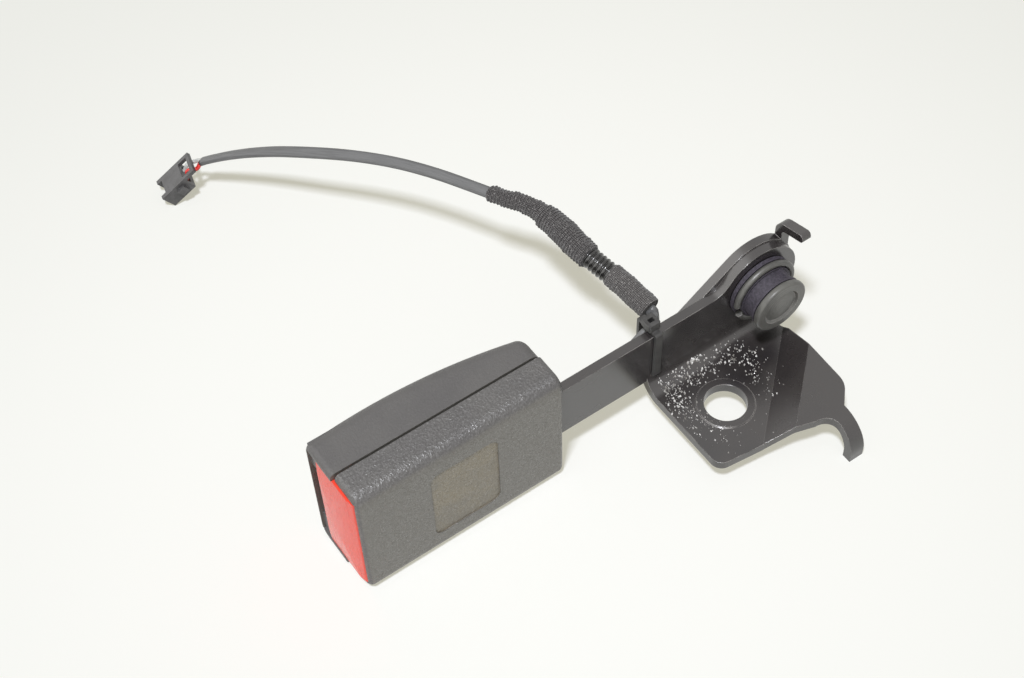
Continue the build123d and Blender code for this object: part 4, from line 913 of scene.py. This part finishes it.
def make_sleeves(free, colours, sizes):
    """The tape wraps and the ribbed tube on the free lead, in their order from the tie."""
    tube_start, tube_end, thick_end, thin_end = (
        free.nearest((Vector(FREE_ROUTE[run]) + Vector(FREE_ROUTE[run + 1])) / 2)
        for run in (TUBE_STARTS_ON, TUBE_ENDS_ON, THICK_WRAP_ENDS_ON, THIN_WRAP_ENDS_ON))

    def near_radius(_):
        """The near wrap is as thick all along."""
        return sizes.near_wrap_radius

    def thick_radius(distance):
        """The thick wrap swells over the tube's end and closes down a little at its own end."""
        share = (distance - tube_end) / (thick_end - tube_end)
        return sizes.thick_wrap_radius * (0.97 + 0.06 * math.sin(math.pi * min(1.0, share * 1.1)))

    def thin_radius(distance):
        """The thin wrap tapers from the thick one down to the jacket."""
        share = (distance - thick_end) / (thin_end - thick_end)
        return sizes.thin_wrap_radius * (1.12 - 0.2 * share)

    def ribbed_radius(distance):
        """Round ribs with narrow valleys."""
        wave = 0.5 + 0.5 * math.cos(2 * math.pi * (distance - tube_start) / sizes.tube_pitch)
        return sizes.tube_root_radius + (sizes.tube_crest_radius - sizes.tube_root_radius) * wave ** 0.6

    tape = cloth_tape("cloth_harness_tape", colours.tape, colours.tape_thread, colours.tape_fibre)
    near_tape = cloth_tape("cloth_harness_tape_near", colours.near_tape, colours.near_tape_thread,
                           colours.tape_fibre)
    wraps = []
    for name, material, start, end, radius_of, seed, ridge, node in (
        ("tape_wrap_near", near_tape, 0.0, tube_start, near_radius, 0.1, 0.06, "cloth_wrap_a"),
        ("tape_wrap_thick", tape, tube_end - THICK_TUCK, thick_end, thick_radius, 0.45, 0.15,
         "cloth_wrap_b"),
        ("tape_wrap_thin", tape, thick_end - THIN_TUCK, thin_end, thin_radius, 0.7, 0.13, "cloth_wrap_c"),
    ):
        section = wound_section(sizes, start, end, radius_of, seed, ridge * MM)
        wrap = tube_along(name, free, start, end, *WRAP_MESH, section)
        wraps.append(finish_piece(wrap, material, "cloth_tape", "stalk", node))
    near, thick, thin = wraps
    ribbed = tube_along("ribbed_tube", free, tube_start - TUBE_TUCK_NEAR, tube_end + TUBE_TUCK_FAR,
                        *RIBBED_MESH, round_section(ribbed_radius))
    finish_piece(ribbed, glossy_conduit(colours), "conduit_plastic", "stalk", "convoluted_tube")
    return near, ribbed, thick, thin


def make_wires(free, colours, sizes):
    """The red and the white core, from the jacket's end into the connector."""
    wires = []
    for name, sign, colour, shade, rise, node in (
        ("red_core", -1, colours.red_wire, colours.red_wire_shade, RED_RISE, "wire_red"),
        ("white_core", 1, colours.white_wire, colours.white_wire_shade, WHITE_RISE, "wire_white"),
    ):
        wire = connector_wire(free, sizes, name, sign, rise)
        slot = node + "_vinyl"
        wires.append(finish_piece(wire, soft_vinyl(slot, colour, shade), slot, "stalk", node))
    return wires


class BUCKLE_OT_lead(PieceOperator):
    """Make the two-core lead, its wires, tape wraps and ribbed tube"""

    bl_idname = "buckle.lead"
    bl_label = "Lead and sleeves"

    def execute(self, context):
        colours, sizes = colours_and_sizes()
        vinyl = soft_vinyl("jacket_vinyl", colours.jacket, colours.jacket_shade, 0.34)
        flat = two_core_section(sizes)
        held = Route(HELD_ROUTE, HELD_FACES)
        held_lead = tube_along("held_lead", held, 0.0, held.length, *HELD_MESH, flat)
        finish_piece(held_lead, vinyl, "lead_vinyl", "stalk", "switch_lead")
        free = Route(FREE_ROUTE, JACKET_FACES)
        jacket = tube_along("lead_jacket_flat", free, 0.0, free.length, *JACKET_MESH,
                            twisted_section(flat, free.length))
        finish_piece(jacket, vinyl, "lead_vinyl", "stalk", "lead_jacket")
        sleeves = make_sleeves(free, colours, sizes)
        wires = make_wires(free, colours, sizes)
        return {"FINISHED"}


def backlit_paper(colours):
    """Pale paper: seen directly or in a gloss it is a backlit sheet that still takes the shadows."""
    material, tree = start_material("pale_paper")
    reach = add_node(tree, "VectorMath", {0: add_node(tree, "TexCoord", output="Object"), 1: FLOOR_MIDDLE},
                     output="Value", operation="DISTANCE")
    # Painted light: the paper and its glow are painted dimmer towards the corners, as a pool of light
    # falling off from the middle
    painted_falloff = add_node(tree, "MapRange", {"Value": reach, "From Min": 0.05, "From Max": 0.30}, **SMOOTH)
    paper = add_node(tree, "Mix", {0: painted_falloff, 6: colours.paper, 7: colours.paper_far_painted_dim}, **COLOUR)
    near_glow = add_node(tree, "Mix", {0: painted_falloff, 6: colours.glow, 7: colours.glow_far_painted_dim}, **COLOUR)
    # Towards the horizon the sheet turns into the tent's wall
    horizon = add_node(tree, "MapRange", {"Value": reach, "From Min": 0.35, "From Max": 1.3}, **SMOOTH)
    glow = add_node(tree, "Mix", {0: horizon, 6: near_glow, 7: colours.tent}, **COLOUR)
    share = add_node(tree, "MapRange", {"Value": horizon, "To Min": 0.45}, **SMOOTH)
    sheet = add_node(tree, "MixShader", {0: share,
                                         1: add_node(tree, "BsdfDiffuse", {"Color": paper}),
                                         2: add_node(tree, "Emission", {"Color": glow})})
    bounce = add_node(tree, "BsdfPrincipled", {"Base Color": colours.floor, "Roughness": 1.0,
                                               "Specular IOR Level": 0.0})
    shown = add_node(tree, "MixShader", {0: seen_ray(tree), 1: bounce, 2: sheet})
    add_node(tree, "OutputMaterial", {"Surface": shown})
    return material


def white_tent(colours):
    """A world that lights the object plainly, and that the eye and a gloss see as a white tent."""
    world = bpy.data.worlds.new("studio_room")
    world.use_nodes = True
    tree = world.node_tree
    tree.nodes.clear()
    room = add_node(tree, "Background", {"Color": colours.room, "Strength": ROOM_STRENGTH})
    # A gloss sees the tent brighter on the buckle's side, as if a window stood behind it there
    ray = add_node(tree, "SeparateXYZ", {"Vector": add_node(tree, "TexCoord", output="Generated")})
    sideways = add_node(tree, "MapRange", {"Value": ray, "From Min": TENT_BRIGHT_AT,
                                           "From Max": TENT_PLAIN_AT, "To Min": 1.0, "To Max": 0.0},
                        **SMOOTH)
    window = add_node(tree, "Math", {0: sideways, 1: add_node(tree, "LightPath", output="Is Glossy Ray")},
                      operation="MULTIPLY")
    strength = add_node(tree, "MapRange", {"Value": window, "To Min": TENT_PLAIN, "To Max": TENT_BRIGHT},
                        **SMOOTH)
    tent = add_node(tree, "Background", {"Color": colours.tent, "Strength": strength})
    around = add_node(tree, "MixShader", {0: seen_ray(tree), 1: room, 2: tent})
    add_node(tree, "OutputWorld", {"Surface": around})
    return world


class BUCKLE_OT_stage(PieceOperator):
    """Make the floor, the lamp, the world and the camera"""

    bl_idname = "buckle.stage"
    bl_label = "Floor, light and camera"

    def execute(self, context):
        colours, _ = colours_and_sizes()
        pick_nothing()
        bpy.ops.mesh.primitive_plane_add(size=4.0, location=(0.0, 0.0, FLOOR_Z))
        floor = context.object
        floor.name = "floor"
        bpy.ops.object.transform_apply(location=True, rotation=True, scale=True)
        floor.data.materials.append(backlit_paper(colours))

        bpy.ops.object.light_add(type="AREA", location=LAMP_AIM + LAMP_DIRECTION * LAMP_DISTANCE)
        softbox = context.object
        softbox.name = "key_softbox"
        softbox.rotation_mode = "QUATERNION"
        softbox.rotation_quaternion = (-LAMP_DIRECTION).to_track_quat("-Z", "Y")
        softbox.data.size = LAMP_SIZE
        softbox.data.energy = LAMP_WATTS
        softbox.data.color = LAMP_COLOUR
        context.scene.world = white_tent(colours)

        bpy.ops.object.camera_add()
        camera = context.object
        camera.name = "camera"
        back = -CAMERA_FORWARD.normalized()
        right = (CAMERA_RIGHT - back * CAMERA_RIGHT.dot(back)).normalized()
        up = back.cross(right)
        turned = Matrix((right, up, back)).transposed().to_4x4()
        camera.matrix_world = Matrix.Translation(CAMERA_PLACE) @ turned
        camera.data.lens = CAMERA_LENS
        camera.data.sensor_width = CAMERA_SENSOR
        camera.data.clip_start = 0.01
        context.scene.camera = camera
        context.scene.view_settings.view_transform = "Standard"
        return {"FINISHED"}


PIECE_OPERATORS = (BUCKLE_OT_housing, BUCKLE_OT_button, BUCKLE_OT_stalk, BUCKLE_OT_grit, BUCKLE_OT_works,
                   BUCKLE_OT_moulded, BUCKLE_OT_lead, BUCKLE_OT_stage)


class BUCKLE_PT_pieces(bpy.types.Panel):
    """Lists the buckle's operators in the 3D view's sidebar"""

    bl_label = "Seat belt buckle"
    bl_space_type = "VIEW_3D"
    bl_region_type = "UI"
    bl_category = "Buckle"

    def draw(self, context):
        for operator in PIECE_OPERATORS:
            self.layout.operator(operator.bl_idname)


CLASSES = (BuckleColours, BuckleSizes, *PIECE_OPERATORS, BUCKLE_PT_pieces)


def register():
    for item in CLASSES:
        bpy.utils.register_class(item)
    bpy.types.Scene.buckle_colours = bpy.props.PointerProperty(type=BuckleColours)
    bpy.types.Scene.buckle_sizes = bpy.props.PointerProperty(type=BuckleSizes)


def unregister():
    del bpy.types.Scene.buckle_sizes
    del bpy.types.Scene.buckle_colours
    for item in reversed(CLASSES):
        bpy.utils.unregister_class(item)


def main():
    """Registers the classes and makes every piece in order."""
    register()
    for operator in PIECE_OPERATORS:
        group, name = operator.bl_idname.split(".")
        getattr(getattr(bpy.ops, group), name)()


if __name__ == "__main__":
    main()
